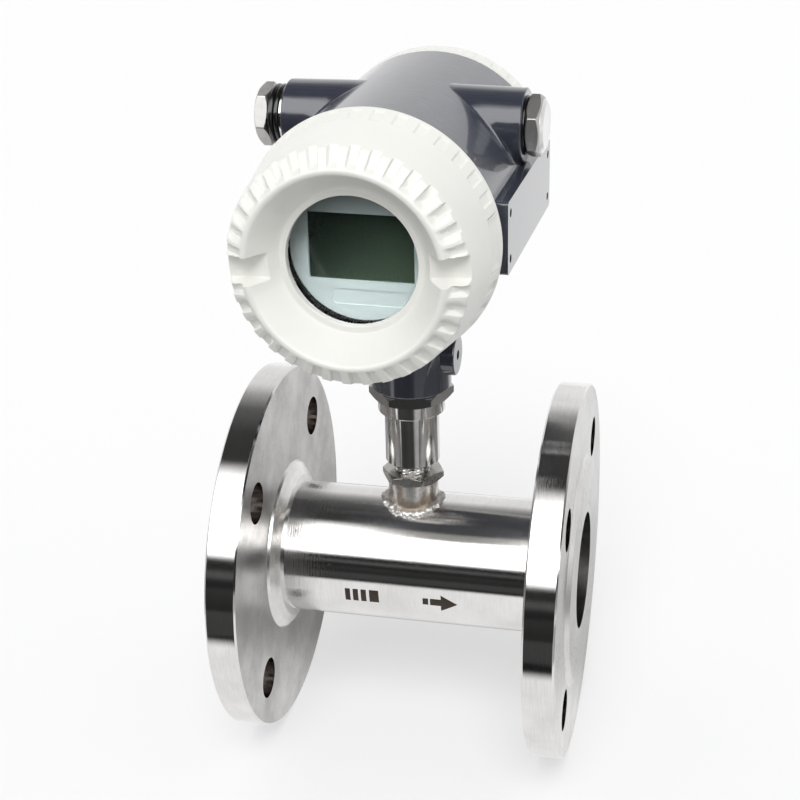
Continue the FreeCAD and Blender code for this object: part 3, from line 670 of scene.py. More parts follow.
# A steel's numbers are its colour, dark colour, roughness, scale of the streaks, their stretch and strength.

looks = {
    "ivory": ivoryPaint(),
    "slate": slatePaint(),
    "tube": steel("brushedTube", (0.82, 0.81, 0.80), (0.70, 0.69, 0.68), 0.08, 2600, (1, 0.03, 0.03), 0.50),
    "rim": steel("turnedRim", (0.82, 0.81, 0.80), (0.66, 0.65, 0.64), 0.07, 3000, (1, 0.03, 0.03), 0.30),
    "innerFace": steel("blastedFace", (0.62, 0.61, 0.60), (0.46, 0.45, 0.44), 0.34, 900,
                       (1, 1, 1), 0.08, 0.3),
    "outerFace": steel("turnedFace", (0.74, 0.73, 0.72), (0.60, 0.59, 0.58), 0.24, 1100, "rings", 0.50),
    "weldFace": steel("dressedWeld", (0.80, 0.79, 0.775), (0.68, 0.67, 0.655), 0.20, 500,
                      (1, 0.4, 0.4), 0.06),
    "bore": steel("boredSteel", (0.66, 0.65, 0.64), (0.54, 0.53, 0.52), 0.12, 1200, (1, 0.1, 0.1), 0.20),
    # The bolt holes' steel is darker than the faces: painted shade inside the holes.
    "hole": steel("drilledHole", (0.46, 0.43, 0.41), (0.24, 0.22, 0.21), 0.11, 900, (1, 0.2, 0.2), 0.20),
    "guide": steel("guideSteel", (0.70, 0.69, 0.68), (0.56, 0.55, 0.54), 0.20, 1200, (1, 1, 1), 0.08),
    "rotor": steel("rotorSteel", (0.58, 0.57, 0.56), (0.44, 0.43, 0.42), 0.28, 1200, (1, 1, 1), 0.08),
    "boss": steel("heatedBoss", (0.88, 0.86, 0.84), (0.40, 0.33, 0.27), 0.30, 260, (1, 1, 0.7), 0.20, 1.6),
    "polished": steel("polishedSleeve", (0.86, 0.85, 0.84), (0.44, 0.43, 0.42), 0.10, 420,
                      (1, 1, 0.02), 0.20),
    "nut": steel("machinedNut", (0.54, 0.525, 0.505), (0.42, 0.405, 0.39), 0.25, 1200, (1, 1, 0.5), 0.03),
    "darkNut": steel("darkNut", (0.50, 0.49, 0.48), (0.44, 0.43, 0.42), 0.20, 1200, (1, 1, 0.5), 0.04),
    "fitting": steel("fittingSteel", (0.61, 0.60, 0.585), (0.49, 0.48, 0.465), 0.36, 500, (0.5, 1, 1), 0.06),
    "turnedFitting": steel("turnedFitting", (0.82, 0.81, 0.80), (0.74, 0.73, 0.72), 0.22, 500,
                           (0.3, 1, 1), 0.04),
    "weld": steel("weldBead", (0.94, 0.93, 0.92), (0.62, 0.60, 0.57), 0.38, 420, (1, 1, 1), 0.35),
    "iron": steel("softIron", (0.42, 0.40, 0.38), (0.32, 0.31, 0.30), 0.34, 900, (1, 1, 1), 0.10),
    "aluminium": steel("machinedAluminium", (0.80, 0.80, 0.80), (0.66, 0.66, 0.67), 0.26, 1600,
                       (1, 0.2, 1), 0.12),
    "rubber": rubber(),
    "window": windowPane(),
    "display": displayGlass(),
    "bezel": plain("bezelPlastic", (0.72, 0.805, 0.81), (0.69, 0.77, 0.775), 0.34, 60, 0.0, 0.04),
    # Black for the window ring and the cover's glass seat: painted shade, a dark sheet standing in for the shade in
    # the window's recess.
    "black": plain("blackAnodised", (0.012, 0.012, 0.013), (0.020, 0.020, 0.022), 0.34, 300),
    "board": plain("circuitBoard", (0.010, 0.090, 0.042), (0.016, 0.120, 0.056), 0.32, 160),
    "nickel": plain("nickelPlate", (0.70, 0.66, 0.56), (0.60, 0.56, 0.48), 0.24, 200, 1.0),
    "terminal": plain("terminalPlastic", (0.030, 0.160, 0.070), (0.040, 0.190, 0.085), 0.42, 200),
    "carbide": plain("groundCarbide", (0.22, 0.23, 0.25), (0.30, 0.31, 0.33), 0.22, 400, 1.0),
    "copper": plain("enamelledCopper", (0.60, 0.24, 0.10), (0.70, 0.32, 0.15), 0.30, 900, 1.0, 0.3),
    "zinc": plain("brightZinc", (0.62, 0.62, 0.61), (0.50, 0.50, 0.50), 0.24, 300, 1.0),
    "spring": plain("springSteel", (0.10, 0.10, 0.105), (0.16, 0.16, 0.165), 0.35, 300, 1.0),
    "lead": plain("leadJacket", (0.020, 0.020, 0.022), (0.035, 0.035, 0.038), 0.45, 400),
    "mark": etchedMark(),
}
print("materials made:", len(looks))


# Geometry Nodes that move the points of a turned piece by a rule

def shapeRules(name, labels, move):
    # move(given, spot) gives the new place of a point from the named inputs.
    tree = bpy.data.node_groups.new(name, "GeometryNodeTree")
    kinds = {"geometry": "Geometry", **dict.fromkeys(labels, "Float"), "finish": "Material"}
    for label, kind in kinds.items():
        tree.interface.new_socket(label, in_out="INPUT", socket_type="NodeSocket" + kind)
    tree.interface.new_socket("geometry", in_out="OUTPUT", socket_type="NodeSocketGeometry")
    given = wires(tree.nodes.new("NodeGroupInput"))
    spot = addNode(tree, "GeometryNodeInputPosition")[0]
    place = move(given, spot)
    moved = addNode(tree, "GeometryNodeSetPosition", Geometry=given["geometry"], Position=place)[0]
    real = addNode(tree, "GeometryNodeRealizeInstances", Geometry=moved)[0]
    painted = addNode(tree, "GeometryNodeSetMaterial", Geometry=real, Material=given["finish"])[0]
    feed(tree.nodes.new("NodeGroupOutput").inputs[0], painted)
    return tree


def applyRules(piece, rules, look, **values):
    shaped = piece.modifiers.new("shape", "NODES")
    shaped.node_group = rules
    for item in rules.interface.items_tree:
        if item.name == "finish":
            shaped[item.identifier] = looks[look]
        elif item.name in values:
            shaped[item.identifier] = float(values[item.name])
    return baked(piece)


def polar(spot):
    # x, y and z of a point, its distance from the axis, and its angle in turns.
    x, y, z = split(spot)
    return x, y, z, hypot(x, y), sums("ARCTAN2", y, x) / (2 * math.pi)


def narrowed(x, y, z, radius, inward):
    # The point moved towards the axis.
    shrink = (radius - inward) / sums("MAXIMUM", radius, 0.001)
    return spotAt(x * shrink, y * shrink, z)


def lowered(height, floor, amount):
    # A height pressed down to a floor by an amount from 0 to 1.
    return height + (sums("MINIMUM", height, floor) - height) * amount


pressLook = {"pocketRun": 1.3, "grooveRun": 1.4, "longGrooveWall": 1.6, "longGrooveShare": 0.7, "margin": 0.2}


def crownMove(given, spot):
    # Presses the pockets, the spanner slots and the short grooves into a turned cover.
    look = pressLook
    x, y, height, radius, turns = polar(spot)
    share = turns * given["ribs"]
    fromRib = abs(share - round(share)) * (360.0 / given["ribs"])
    halfTurns = turns * 2.0
    fromSlot = abs(halfTurns - round(halfTurns)) * 180.0

    across = spread(fromRib, given["pocketHalf"], given["pocketHalf"] - given["pocketWall"])
    inner = spread(radius, given["pocketStart"], given["pocketStart"] + look["pocketRun"])
    rise = (given["edgeRadius"] - radius) * given["slope"]
    floor = given["edgeHeight"] + rise - given["pocketDepth"]
    z = lowered(height, floor, across * (fromSlot > given["slotSkip"]) * inner)

    slot = spread(abs(y), given["slotHalf"], given["slotHalf"] - given["slotWall"])
    z = lowered(z, given["slotFloor"], slot)

    begin = spread(height, given["grooveLow"], given["grooveLow"] + look["grooveRun"])
    end = spread(height, given["grooveHigh"], given["grooveHigh"] - look["grooveRun"])
    outer = radius > given["edgeRadius"] - look["margin"]
    short = across * (fromSlot > given["longGrooveHalf"])
    wide = spread(fromSlot, given["longGrooveHalf"], given["longGrooveHalf"] - look["longGrooveWall"])
    groove = sums("MAXIMUM", short, wide * look["longGrooveShare"]) * (begin * end * outer)
    return narrowed(x, y, z, radius, groove * given["grooveDepth"])


threadFlank = (0.06, 0.42)      # from the crest to the root, in turns
threadShare = 0.58              # depth of a thread to its pitch


def threadMove(given, spot):
    # Cuts a screw thread between two heights, and lets it run out at both.
    x, y, z, radius, turns = polar(spot)
    phase = z / given["pitch"] - turns
    wave = spread(abs(phase - round(phase)), *threadFlank)
    begin = spread(z, given["low"], given["low"] + given["pitch"])
    end = spread(z, given["high"], given["high"] - given["pitch"])
    outer = radius > given["radius"] - 0.05
    return narrowed(x, y, z, radius, wave * outer * given["depth"] * (begin * end))


def weldMove(given, spot):
    # Lays a ring on the pipe, along the foot of the boss, in the overlapping scales of a hand weld.
    x, y, z, radius, turns = polar(spot)
    scales = sums("FRACT", turns * given["beads"])
    lumps = (cloud(spot, 0.34, 4, 0.65) - 0.5) * given["lump"]
    swell = (0.5 - abs(scales - 0.6)) * given["ripple"] + lumps
    side = given["footRadius"] * sums("SINE", turns * (2 * math.pi))
    under = given["pipeRadius"] ** 2 - side ** 2
    up = z * (swell + 1.0) + sums("SQRT", under)
    return narrowed(x, y, up, radius, (given["footRadius"] - radius) * swell)


crownRules = shapeRules("ribbedCrown", (
    "ribs", "pocketHalf", "pocketWall", "pocketStart", "pocketDepth", "edgeRadius", "edgeHeight", "slope",
    "slotHalf", "slotWall", "slotFloor", "slotSkip", "grooveLow", "grooveHigh", "grooveDepth",
    "longGrooveHalf"), crownMove)
threadRules = shapeRules("screwThread", ("pitch", "depth", "low", "high", "radius"), threadMove)
weldRules = shapeRules("weldBead", ("beads", "ripple", "lump", "footRadius", "pipeRadius"), weldMove)


def steps(radius, low, high, step=0.19):
    # Points up the side of a cylinder, close enough for a thread.
    count = math.ceil((high - low) / step)
    return [Vector((radius, low + (high - low) * number / count)) for number in range(count + 1)]


def threaded(name, look, radius, inner, low, high, pitch):
    # Hollow screw from low to high, with the thread along all of it.
    outline = points((inner, low)) + steps(radius, low, high, pitch / 8) + points((inner, high))
    return applyRules(lathe(name, outline, 64), threadRules, look, pitch=pitch, depth=pitch * threadShare,
                      low=low, high=high, radius=radius)


hexLook = {"share": 0.12, "slant": 1.7, "columns": [-29.2, -27, -20, -10, 0, 10, 20, 27, 29.2]}


def hexagon(name, material, flats, inner, low, high, ease=0.14):
    # Hexagon with turned ends: each ring of a turned blank is cut back to the flats.
    look = hexLook
    corner = flats / math.sqrt(3)
    rise = look["share"] * (high - low) * 2
    turned = corner - rise * look["slant"]
    angles = [math.radians(60 * side + 30 + local) for side in range(6) for local in look["columns"]]
    outline = points((inner, low), (turned, low), (corner, low + rise), (corner, high - rise), (turned, high),
                     (inner, high))
    blank = lathe(name, outline, len(angles), lambda column, radius: angles[column])
    middleHeight = (low + high) / 2
    for vertex in blank.data.vertices:
        x, y, z = vertex.co
        radius = math.hypot(x, y)
        fromFlat = math.radians((math.degrees(math.atan2(y, x)) % 60) - 30)
        limit = flats / 2 / math.cos(fromFlat)
        if radius > limit:
            chamfer = rise * (limit - turned) / (corner - turned)
            end, inwards = (low, 1) if z < middleHeight else (high, -1)
            vertex.co = Vector((x * limit / radius, y * limit / radius, end + inwards * chamfer))
    softEdges(blank, ease, 2, 20)
    return coat(blank, material)


# Screwed covers

columnLook = {"beside": 0.12, "pocketWall": (0, 0.3, 0.7, 1), "slotWall": (0, 0.1, 0.35, 0.65, 0.95, 1.2),
              "slotFloor": [-2.6, 0.0, 2.6], "slotMargin": 0.4}


def crownColumns(look):
    # Column angles that follow the walls of the pockets and of the two slots.
    beside = columnLook["beside"]
    pitch = 360 / look["ribs"]
    half = look["pocketHalf"]
    wall = look["pocketWall"]
    edge = [half - wall * part for part in columnLook["pocketWall"]]
    edge = [half + beside] + edge + [half - wall - beside]
    inPitch = sorted([-value for value in edge] + [0.0] + edge + [pitch / 2])
    slotEdge = [look["slotHalf"] + beside - look["slotWall"] * part for part in columnLook["slotWall"]]
    slotLines = sorted([-value for value in slotEdge] + columnLook["slotFloor"] + slotEdge)
    columns = []
    perSide = look["ribs"] // 2
    for side in range(2):
        columns += [("slot", side * 180, line) for line in slotLines]
        for number in range(1, perSide):
            for local in inPitch:
                if number == perSide - 1 and local == pitch / 2:
                    continue
                columns.append(("rib", side * 180, number * pitch + local))
    return columns


def crownAngle(look, columns):
    # Keeps the columns of a slot parallel, and squeezes those between the slots where they come too near.
    edge = look["slotHalf"] + columnLook["slotMargin"]

    def angleAt(column, radius):
        kind, base, value = columns[column]
        radius = max(radius, 2 * edge)
        if kind == "slot":
            return math.radians(base) + math.asin(value / radius)
        squeeze = math.degrees(math.asin(edge / radius))
        lowest = 360 / look["ribs"] - look["pocketHalf"] - columnLook["beside"]
        if squeeze > lowest:
            share = (value - lowest) / (180 - 2 * lowest)
            value = squeeze + share * (180 - 2 * squeeze)
        return math.radians(base + value)

    return angleAt


def ribbedCover(name, look, crown, inside):
    # crown is the outline that takes the ribs, inside closes it behind.
    columns = crownColumns(look)
    outline = rounded(crown + inside)
    outline = evenSteps(outline, 0.6, outline.index(Vector(inside[0][:2])))
    cover = lathe(name, outline, len(columns), crownAngle(look, columns))
    slope = (look["ridgeHeight"] - look["edgeHeight"]) / (look["edgeRadius"] - look["ridgeRadius"])
    applyRules(cover, crownRules, "ivory", slope=slope, **look)
    return turned(cover, look["turn"])


coverSpigot = {"radius": 42.9, "inner": 38.3, "length": 12.6, "top": 0.2, "pitch": 2.0,
               "grooveLow": -5.4, "grooveHigh": -2.6, "grooveFloor": 40.6}


def spigot(name):
    # Screw of a cover, bare metal, with the groove of its seal.
    look = coverSpigot
    outer = steps(look["radius"], -look["length"], look["grooveLow"], look["pitch"] / 8)
    outline = points((look["inner"], -look["length"])) + outer + points(
        (look["grooveFloor"], look["grooveLow"]), (look["grooveFloor"], look["grooveHigh"]),
        (look["radius"], look["grooveHigh"]), (look["radius"], look["top"]), (look["inner"], look["top"]))
    return applyRules(lathe(name, outline, 144), threadRules, "aluminium", pitch=look["pitch"],
                      depth=look["pitch"] / 2, low=-look["length"], high=look["grooveLow"],
                      radius=look["radius"])


frontLook = {
    "ribs": 36, "pocketHalf": 2.9, "pocketWall": 0.85, "pocketStart": 38.9, "pocketDepth": 2.0,
    "edgeRadius": 45.7, "edgeHeight": 35.9, "ridgeRadius": 37.3, "ridgeHeight": 41.3,
    "slotHalf": 5.5, "slotWall": 1.2, "slotFloor": 32.4, "slotSkip": 5.0,
    "grooveLow": 2.2, "grooveHigh": 12.0, "grooveDepth": 0.85, "longGrooveHalf": 12.0, "turn": 3.5,
    "skirtRadius": 50.9, "gap": 0.55, "openingRadius": 25.3, "openingHeight": 28.3, "stepRadius": 28.6,
    "ledgeHeight": 25.3, "glassRadius": 36.1, "glassBack": 18.3, "ringRadius": 37.0, "ringBack": 15.3,
}


def frontCover():
    look = frontLook
    crown = [
        (look["skirtRadius"], look["gap"], 0.4), (look["skirtRadius"] - 0.1, 1.6, 0.3),
        (look["edgeRadius"], look["edgeHeight"], 1.5), (look["ridgeRadius"], look["ridgeHeight"], 1.7),
        (look["stepRadius"], look["openingHeight"] + 1.2, 1.6),
        (look["stepRadius"] - 0.8, look["openingHeight"] + 0.25, 0.5),
        (look["openingRadius"], look["openingHeight"], 0.4), (look["openingRadius"], look["ledgeHeight"], 0),
    ]
    inside = [
        (look["glassRadius"], look["ledgeHeight"], 0), (look["glassRadius"], look["glassBack"], 0),
        (look["ringRadius"], look["glassBack"], 0), (look["ringRadius"], look["ringBack"], 0),
        (coverSpigot["inner"], look["ringBack"] - 1.5, 0), (coverSpigot["inner"], 0, 0),
    ]
    shell = ribbedCover("frontCrown", look, crown, inside)
    seatRadius = look["glassRadius"] + 2.5
    seatHeight = look["ledgeHeight"] - 0.1
    # The cover's glass seat is painted black, as painted shade for the window's recess.
    paint(shell, "ivory",
          ("black", lambda radius, height, normal: radius < seatRadius and height < seatHeight))
    cover = join("frontCover", [shell, spigot("frontSpigot")])
    placeOnHead(cover, -yAxis, "front_cover_turn", 50)
    finish(cover, "front_cover")


rearLook = {
    "ribs": 36, "pocketHalf": 2.9, "pocketWall": 1.15, "pocketStart": 37.6, "pocketDepth": 1.0,
    "edgeRadius": 44.0, "edgeHeight": 16.0, "ridgeRadius": 36.4, "ridgeHeight": 20.0,
    "slotHalf": 5.5, "slotWall": 1.2, "slotFloor": 13.5, "slotSkip": 5.0,
    "grooveLow": 1.6, "grooveHigh": 9.4, "grooveDepth": 0.55, "longGrooveHalf": 12.0, "turn": -8.0,
    "skirtRadius": 48.4, "gap": 0.5, "skirtHeight": 10.0, "dishRadius": 30.0, "dishHeight": 13.0,
    "plateBack": 7.0,
}


def rearCover():
    look = rearLook
    crown = [
        (look["skirtRadius"], look["gap"], 0.4), (look["skirtRadius"], look["skirtHeight"], 1.5),
        (look["edgeRadius"], look["edgeHeight"], 1.3), (look["ridgeRadius"], look["ridgeHeight"], 1.7),
        (look["dishRadius"], look["dishHeight"], 3.0), (0.01, look["dishHeight"], 0),
    ]
    inside = [(0, look["dishHeight"], 0), (0, look["plateBack"], 0),
              (coverSpigot["inner"], look["plateBack"], 0), (coverSpigot["inner"], 0, 0)]
    cover = join("rearCover", [ribbedCover("rearCrown", look, crown, inside), spigot("rearSpigot")])
    placeOnHead(cover, yAxis, "rear_cover_turn", 50)
    finish(cover, "rear_cover")


def sealRing(name, ringRadius, section, height, columns):
    # Round rubber ring at a height above the joint.
    outline = points(*((ringRadius + section / 2 * math.cos(turn), height + section / 2 * math.sin(turn))
                       for turn in evenAngles(20)))
    return coat(lathe(name, outline, columns), "rubber")


sealLook = {"radius": 41.9, "section": 2.4}


def coverSeals():
    look = sealLook
    grooveMiddle = (coverSpigot["grooveLow"] + coverSpigot["grooveHigh"]) / 2
    for name, node, direction in (("frontCoverSeal", "front_cover_seal", -yAxis),
                                  ("rearCoverSeal", "rear_cover_seal", yAxis)):
        seal = sealRing(name, look["radius"], look["section"], grooveMiddle, 144)
        placeOnHead(seal, direction, node.replace("_seal", "_turn"), 60)
        finish(seal, node)


frontCover()
rearCover()
coverSeals()
print("covers made")


# Window and display

windowLook = {"radius": 36.0, "back": 18.3, "front": 24.3}
bezelLook = {"radius": 28.4, "wall": 1.4, "back": 56.4, "front": 65.0, "cap": 1.2,
             "screen": (-0.3, 0.8, 41.2, 26.4), "screenCorner": 0.8,
             "field": (3.7, -18.9, 31.0, 6.2), "fieldCorner": 1.6, "fieldDepth": 0.35}


def roundedBlock(name, area, corner, low, high):
    # Straight block with rounded corners, given the centre and the size of its area.
    x, y, width, height = area
    corners = []
    for signX, signY, start in ((1, 1, 0), (-1, 1, 90), (-1, -1, 180), (1, -1, 270)):
        centre = Vector((x + signX * (width / 2 - corner), y + signY * (height / 2 - corner)))
        for degrees in range(start, start + 91, 15):
            turn = math.radians(degrees)
            corners.append(centre + Vector((math.cos(turn), math.sin(turn))) * corner)
    block = prism(name, corners, high - low)
    block.data.transform(Matrix.Translation((0, 0, low)))
    return block


def windowGlass():
    look = windowLook
    outline = rounded([(0, look["back"], 0), (look["radius"], look["back"], 0.4),
                       (look["radius"], look["front"], 0.4), (0, look["front"], 0)])
    pane = coat(lathe("windowGlass", outline, 128), "window")
    placeOnHead(pane, -yAxis, "front_cover_turn", 30)
    finish(pane, "window_glass")


def displayBezel():
    look = bezelLook
    front = look["front"]
    inner = look["radius"] - look["wall"]
    outline = rounded([
        (0, front - look["cap"], 0), (inner, front - look["cap"], 0), (inner, look["back"], 0),
        (look["radius"], look["back"], 0), (look["radius"], front, 0.6), (0, front, 0)])
    cap = lathe("displayBezel", outline, 128)
    cut(cap, roundedBlock("screenHole", look["screen"], look["screenCorner"], look["back"], front + 1))
    cut(cap, roundedBlock("nameField", look["field"], look["fieldCorner"],
                          front - look["fieldDepth"], front + 1))
    softEdges(cap, 0.18, 2, 50)
    place(coat(cap, "bezel"), -yAxis, headCentre, 35, headSwing)
    finish(cap, "display_bezel")


windowGlass()
displayBezel()
dress("display_panel", "display", 0.3)
dress("window_gasket", "rubber", 0.15)
# The window ring is black, as painted shade in the window's recess.
dress("window_ring", "black", 0.2)
print("window made")


# Pipe and flanges

pipeLook = {"length": 150.0, "outer": 29.5, "bore": 25.0, "seat": 25.7, "seatDepth": 46.0, "groove": 26.7,
            "grooveLow": 10.0, "grooveHigh": 12.0, "well": 8.0, "wellFloor": 26.5, "wellTop": 32}


def pipeOutline(look):
    # Inner side of the pipe from one end to the other, with the seats and the circlip grooves.
    end = [(look["seat"], 0), (look["seat"], look["grooveLow"]), (look["groove"], look["grooveLow"]),
           (look["groove"], look["grooveHigh"]), (look["seat"], look["grooveHigh"]),
           (look["seat"], look["seatDepth"]), (look["bore"], look["seatDepth"])]
    other = [(radius, look["length"] - height) for radius, height in reversed(end)]
    outer = [(look["outer"], look["length"] * part / 10) for part in range(10, -1, -1)]
    return points(*end, *other, *outer)


def measuringTube():
    look = pipeLook
    tube = lathe("measuringTube", pipeOutline(look), 160)
    well = rod("well", look["well"], look["wellFloor"], look["wellTop"])
    well.data.transform(Matrix.Translation((0, 0, neckX)) @ Matrix.Rotation(math.radians(-90), 4, "Y"))
    cut(tube, well)
    paint(tube, "bore", ("tube", lambda radius, height, normal: radius > look["outer"] - 0.4))
    place(tube, xAxis, limit=35)
    finish(tube, "measuring_tube")


flangeLook = {"radius": 82.5, "thickness": 15.5, "faceRadius": 48.6, "stepRadius": 51.6, "faceHeight": 2.0,
              "chamfer": 0.8, "weldRadius": 38.5, "weldLength": 5.2, "weldLip": 0.15,
              "bulge": [(37.7, 16.7, 0.8), (35.4, 18.4, 2), (32.4, 19.9, 1.5)],
              "holes": 4, "holeCircle": 62.5, "holeRadius": 9.0, "holeEnds": (-1, 17)}


def flange(name, node, spot, inwards):
    look = flangeLook
    pipe = pipeLook["outer"]
    edge = look["radius"] - look["chamfer"]
    back = look["thickness"]
    outline = rounded([
        (pipe, 0, 0), (look["faceRadius"], 0, 1.2), (look["stepRadius"], look["faceHeight"], 0.8),
        (edge, look["faceHeight"], 0.3), (look["radius"], look["faceHeight"] + look["chamfer"], 0.3),
        (look["radius"], back - look["chamfer"], 0.3), (edge, back, 0.3), (look["weldRadius"], back, 0.2),
        *look["bulge"], (pipe + look["weldLip"], back + look["weldLength"], 0),
        (pipe, back + look["weldLength"], 0)], 3)
    ring = lathe(name, outline, 224)
    for number in range(look["holes"]):
        turn = 2 * math.pi * (number + 0.5) / look["holes"]
        drill = rod("drill", look["holeRadius"], *look["holeEnds"])
        drill.data.transform(Matrix.Translation((look["holeCircle"] * math.cos(turn),
                                                 look["holeCircle"] * math.sin(turn), 0)))
        cut(ring, drill)
    softEdges(ring, 0.45, 2, 60)
    rim = edge - 0.4
    paint(ring, "outerFace",
          ("rim", lambda radius, height, normal: radius > rim and abs(normal.z) < 0.9),
          # The walls of the bolt holes take a darker steel: painted shade in the holes.
          ("hole", lambda radius, height, normal: abs(normal.z) < 0.3 and radius > look["stepRadius"]),
          ("weldFace", lambda radius, height, normal: height > back + 0.2),
          ("innerFace", lambda radius, height, normal: height > back / 2))
    place(ring, inwards, spot, 30)
    finish(ring, node)


measuringTube()
flange("inletFlange", "inlet_flange", Vector((0, 0, 0)), xAxis)
flange("outletFlange", "outlet_flange", Vector((pipeLook["length"], 0, 0)), -xAxis)
for end in ("inlet", "outlet"):
    dress(end + "_circlip", "spring", 0.15)
for end in ("inlet", "outlet"):
    dress(end + "_guide_ring", "bore", 0.2)
    dress(end + "_guide_hub", "guide", 0.2)
    dress(end + "_guide_vanes", "guide", 0.15)
    dress(end + "_bush", "carbide", 0.15)
    dress(end + "_thrust_pad", "carbide", 0.1)
dress("rotor", "rotor", 0.12)
dress("rotor_shaft", "carbide", 0.1)
print("pipe made")


# Pickup on its boss

bossLook = {"radius": 11.0, "bore": 8.0, "foot": 26.6, "top": 40.4}


def pickupBoss():
    look = bossLook
    outline = rounded([(look["bore"], look["foot"], 0), (look["radius"], look["foot"], 0),
                       (look["radius"], look["top"], 0.5), (look["bore"], look["top"], 0)])
    boss = coat(lathe("pickupBoss", outline), "boss")
    place(boss, zAxis, neckFoot)
    finish(boss, "pickup_boss")


weldLook = {"section": (2.5, 1.5), "beads": 17.0, "ripple": 0.22, "lump": 2.7, "footRadius": 11.2}


def bossWeld():
    look = weldLook
    wide, tall = look["section"]
    outline = points(*((look["footRadius"] + wide * math.cos(turn), tall * math.sin(turn))
                       for turn in evenAngles(16)))
    bead = lathe("bossWeld", outline, 312)
    applyRules(bead, weldRules, "weld", pipeRadius=pipeLook["outer"], **look)
    place(bead, zAxis, neckFoot, 70)
    attach(bead, "pickup_boss")


stemLook = {"tip": 26.6, "pole": 2.0, "screw": 7.9, "threadLow": 38.0, "sleeveLow": 48.7, "sleeveHigh": 73.5,
            "sleeve": 11.8, "chamfer": 0.9, "shoulder": 0.3, "upper": 11.0, "top": 104.0, "topChamfer": 0.8,
            "bore": 5.2, "coilFloor": 28.6, "pitch": 1.5}


def pickupStem():
    look = stemLook
    sleeve, upper, top = look["sleeve"], look["upper"], look["top"]
    lower = steps(look["screw"], look["threadLow"], look["sleeveLow"])
    rest = points(
        (sleeve - look["chamfer"], look["sleeveLow"]), (sleeve, look["sleeveLow"] + look["chamfer"]),
        (sleeve, look["sleeveHigh"] - look["shoulder"]), (sleeve - look["shoulder"], look["sleeveHigh"]),
        (upper, look["sleeveHigh"]), (upper, top - look["topChamfer"]), (upper - look["topChamfer"], top),
        (look["bore"], top), (look["bore"], look["coilFloor"]), (look["pole"], look["coilFloor"]),
        (look["pole"], look["tip"]), (look["screw"], look["tip"]))
    stem = lathe("pickupStem", lower + rest)
    applyRules(stem, threadRules, "polished", pitch=look["pitch"], depth=look["pitch"] * threadShare,
               low=look["threadLow"] - look["pitch"], high=look["sleeveLow"] + 0.4, radius=look["screw"])
    place(stem, zAxis, neckFoot, 28)
    finish(stem, "pickup_stem")


nutLook = {"lowerFlats": 24.0, "flats": 32.0, "inner": 11.05, "collar": 14.5, "collarHeight": 6.4, "turn": 10}


def heights(node):
    return (corner.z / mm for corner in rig.box(node))


def lockNuts():
    look = nutLook
    low, high = heights("lower_lock_nut")
    lower = hexagon("lowerLockNut", "nut", look["lowerFlats"], bossLook["bore"], low, high)
    place(lower, zAxis, neckFoot, 17)
    finish(lower, "lower_lock_nut")
    low, high = heights("upper_lock_nut")
    collarTop = low + look["collarHeight"]
    upper = hexagon("upperHexagon", "darkNut", look["flats"], look["inner"], collarTop - 0.01, high)
    turned(upper, look["turn"])
    collar = lathe("nutCollar", rounded([(look["inner"], low, 0), (look["collar"], low, 0.4),
                                         (look["collar"], collarTop, 0.4), (look["inner"], collarTop, 0)]))
    nut = join("upperLockNut", [upper, coat(collar, "polished")])
    place(nut, zAxis, neckFoot, 17)
    finish(nut, "upper_lock_nut")


pickupBoss()
bossWeld()
pickupStem()
lockNuts()
dress("pickup_pole_piece", "iron")
dress("pickup_magnet", "nickel", 0.3)
dress("pickup_coil", "copper", 0.2)
print("pickup made")


# Head housing and its fittings

fittingLook = {"flats": 22.8, "hexHeight": 6.0, "thread": 9.7, "pitch": 1.5, "washer": 1.6, "section": 2.4,
               "ringRadius": 11.3, "rings": 2, "bore": 5.5, "shankEnd": -5.2, "glandTurn": 17.5,
               "gasket": 0.8, "plugBore": 0.5, "plugShank": -12.0, "plugTurn": 4.5,
               "face": 10.8, "faceBack": 0.5, "dome": 1.2}


def glandScrew():
    look = fittingLook
    start = look["washer"] + 2 * look["section"]
    head = hexagon("glandHexagon", "fitting", look["flats"], look["bore"], start, start + look["hexHeight"])
    turned(head, look["glandTurn"])
    shank = threaded("glandShank", "fitting", look["thread"], look["bore"], look["shankEnd"], start,
                     look["pitch"])
    screw = join("glandScrew", [head, shank])
    placeOnHead(screw, -xAxis, "gland_screw_turn", 32)
    finish(screw, "gland_screw")


def glandRings():
    look = fittingLook
    places = [look["washer"] + look["section"] * (number + 0.5) for number in range(look["rings"])]
    rings = [sealRing("ring", look["ringRadius"], look["section"], height, 80) for height in places]
    rings = placeOnHead(join("glandRings", rings), -xAxis, "gland_screw_turn", 60)
    finish(rings, "gland_o_rings")


def blankingPlug():
    look = fittingLook
    bore = look["plugBore"]
    top = look["gasket"] + look["hexHeight"]
    back = top - look["faceBack"]
    head = turned(hexagon("plugHexagon", "fitting", look["flats"], bore, look["gasket"], top, 0.4),
                  look["plugTurn"])
    face = rounded([(0, back, 0), (look["face"], back, 0), (look["face"], top, 0.2),
                    (look["face"] - look["dome"] * 1.6, top + look["dome"], 0.6), (0, top + look["dome"], 0)])
    shank = threaded("plugShank", "fitting", look["thread"], bore, look["plugShank"], look["gasket"] + 0.2,
                     look["pitch"])
    plug = join("blankingPlug", [head, coat(lathe("plugFace", face), "turnedFitting"), shank])
    placeOnHead(plug, xAxis, "blanking_plug_turn", 32)
    finish(plug, "blanking_plug")


dress("housing", "slate", 0.0, 34)
glandScrew()
glandRings()
blankingPlug()
dress("gland_washer", "polished", 0.2)
dress("gland_thrust_ring", "fitting", 0.15)
dress("gland_bush", "rubber", 0.4)
dress("plug_gasket", "rubber", 0.2)
print("head made")


# Electronics

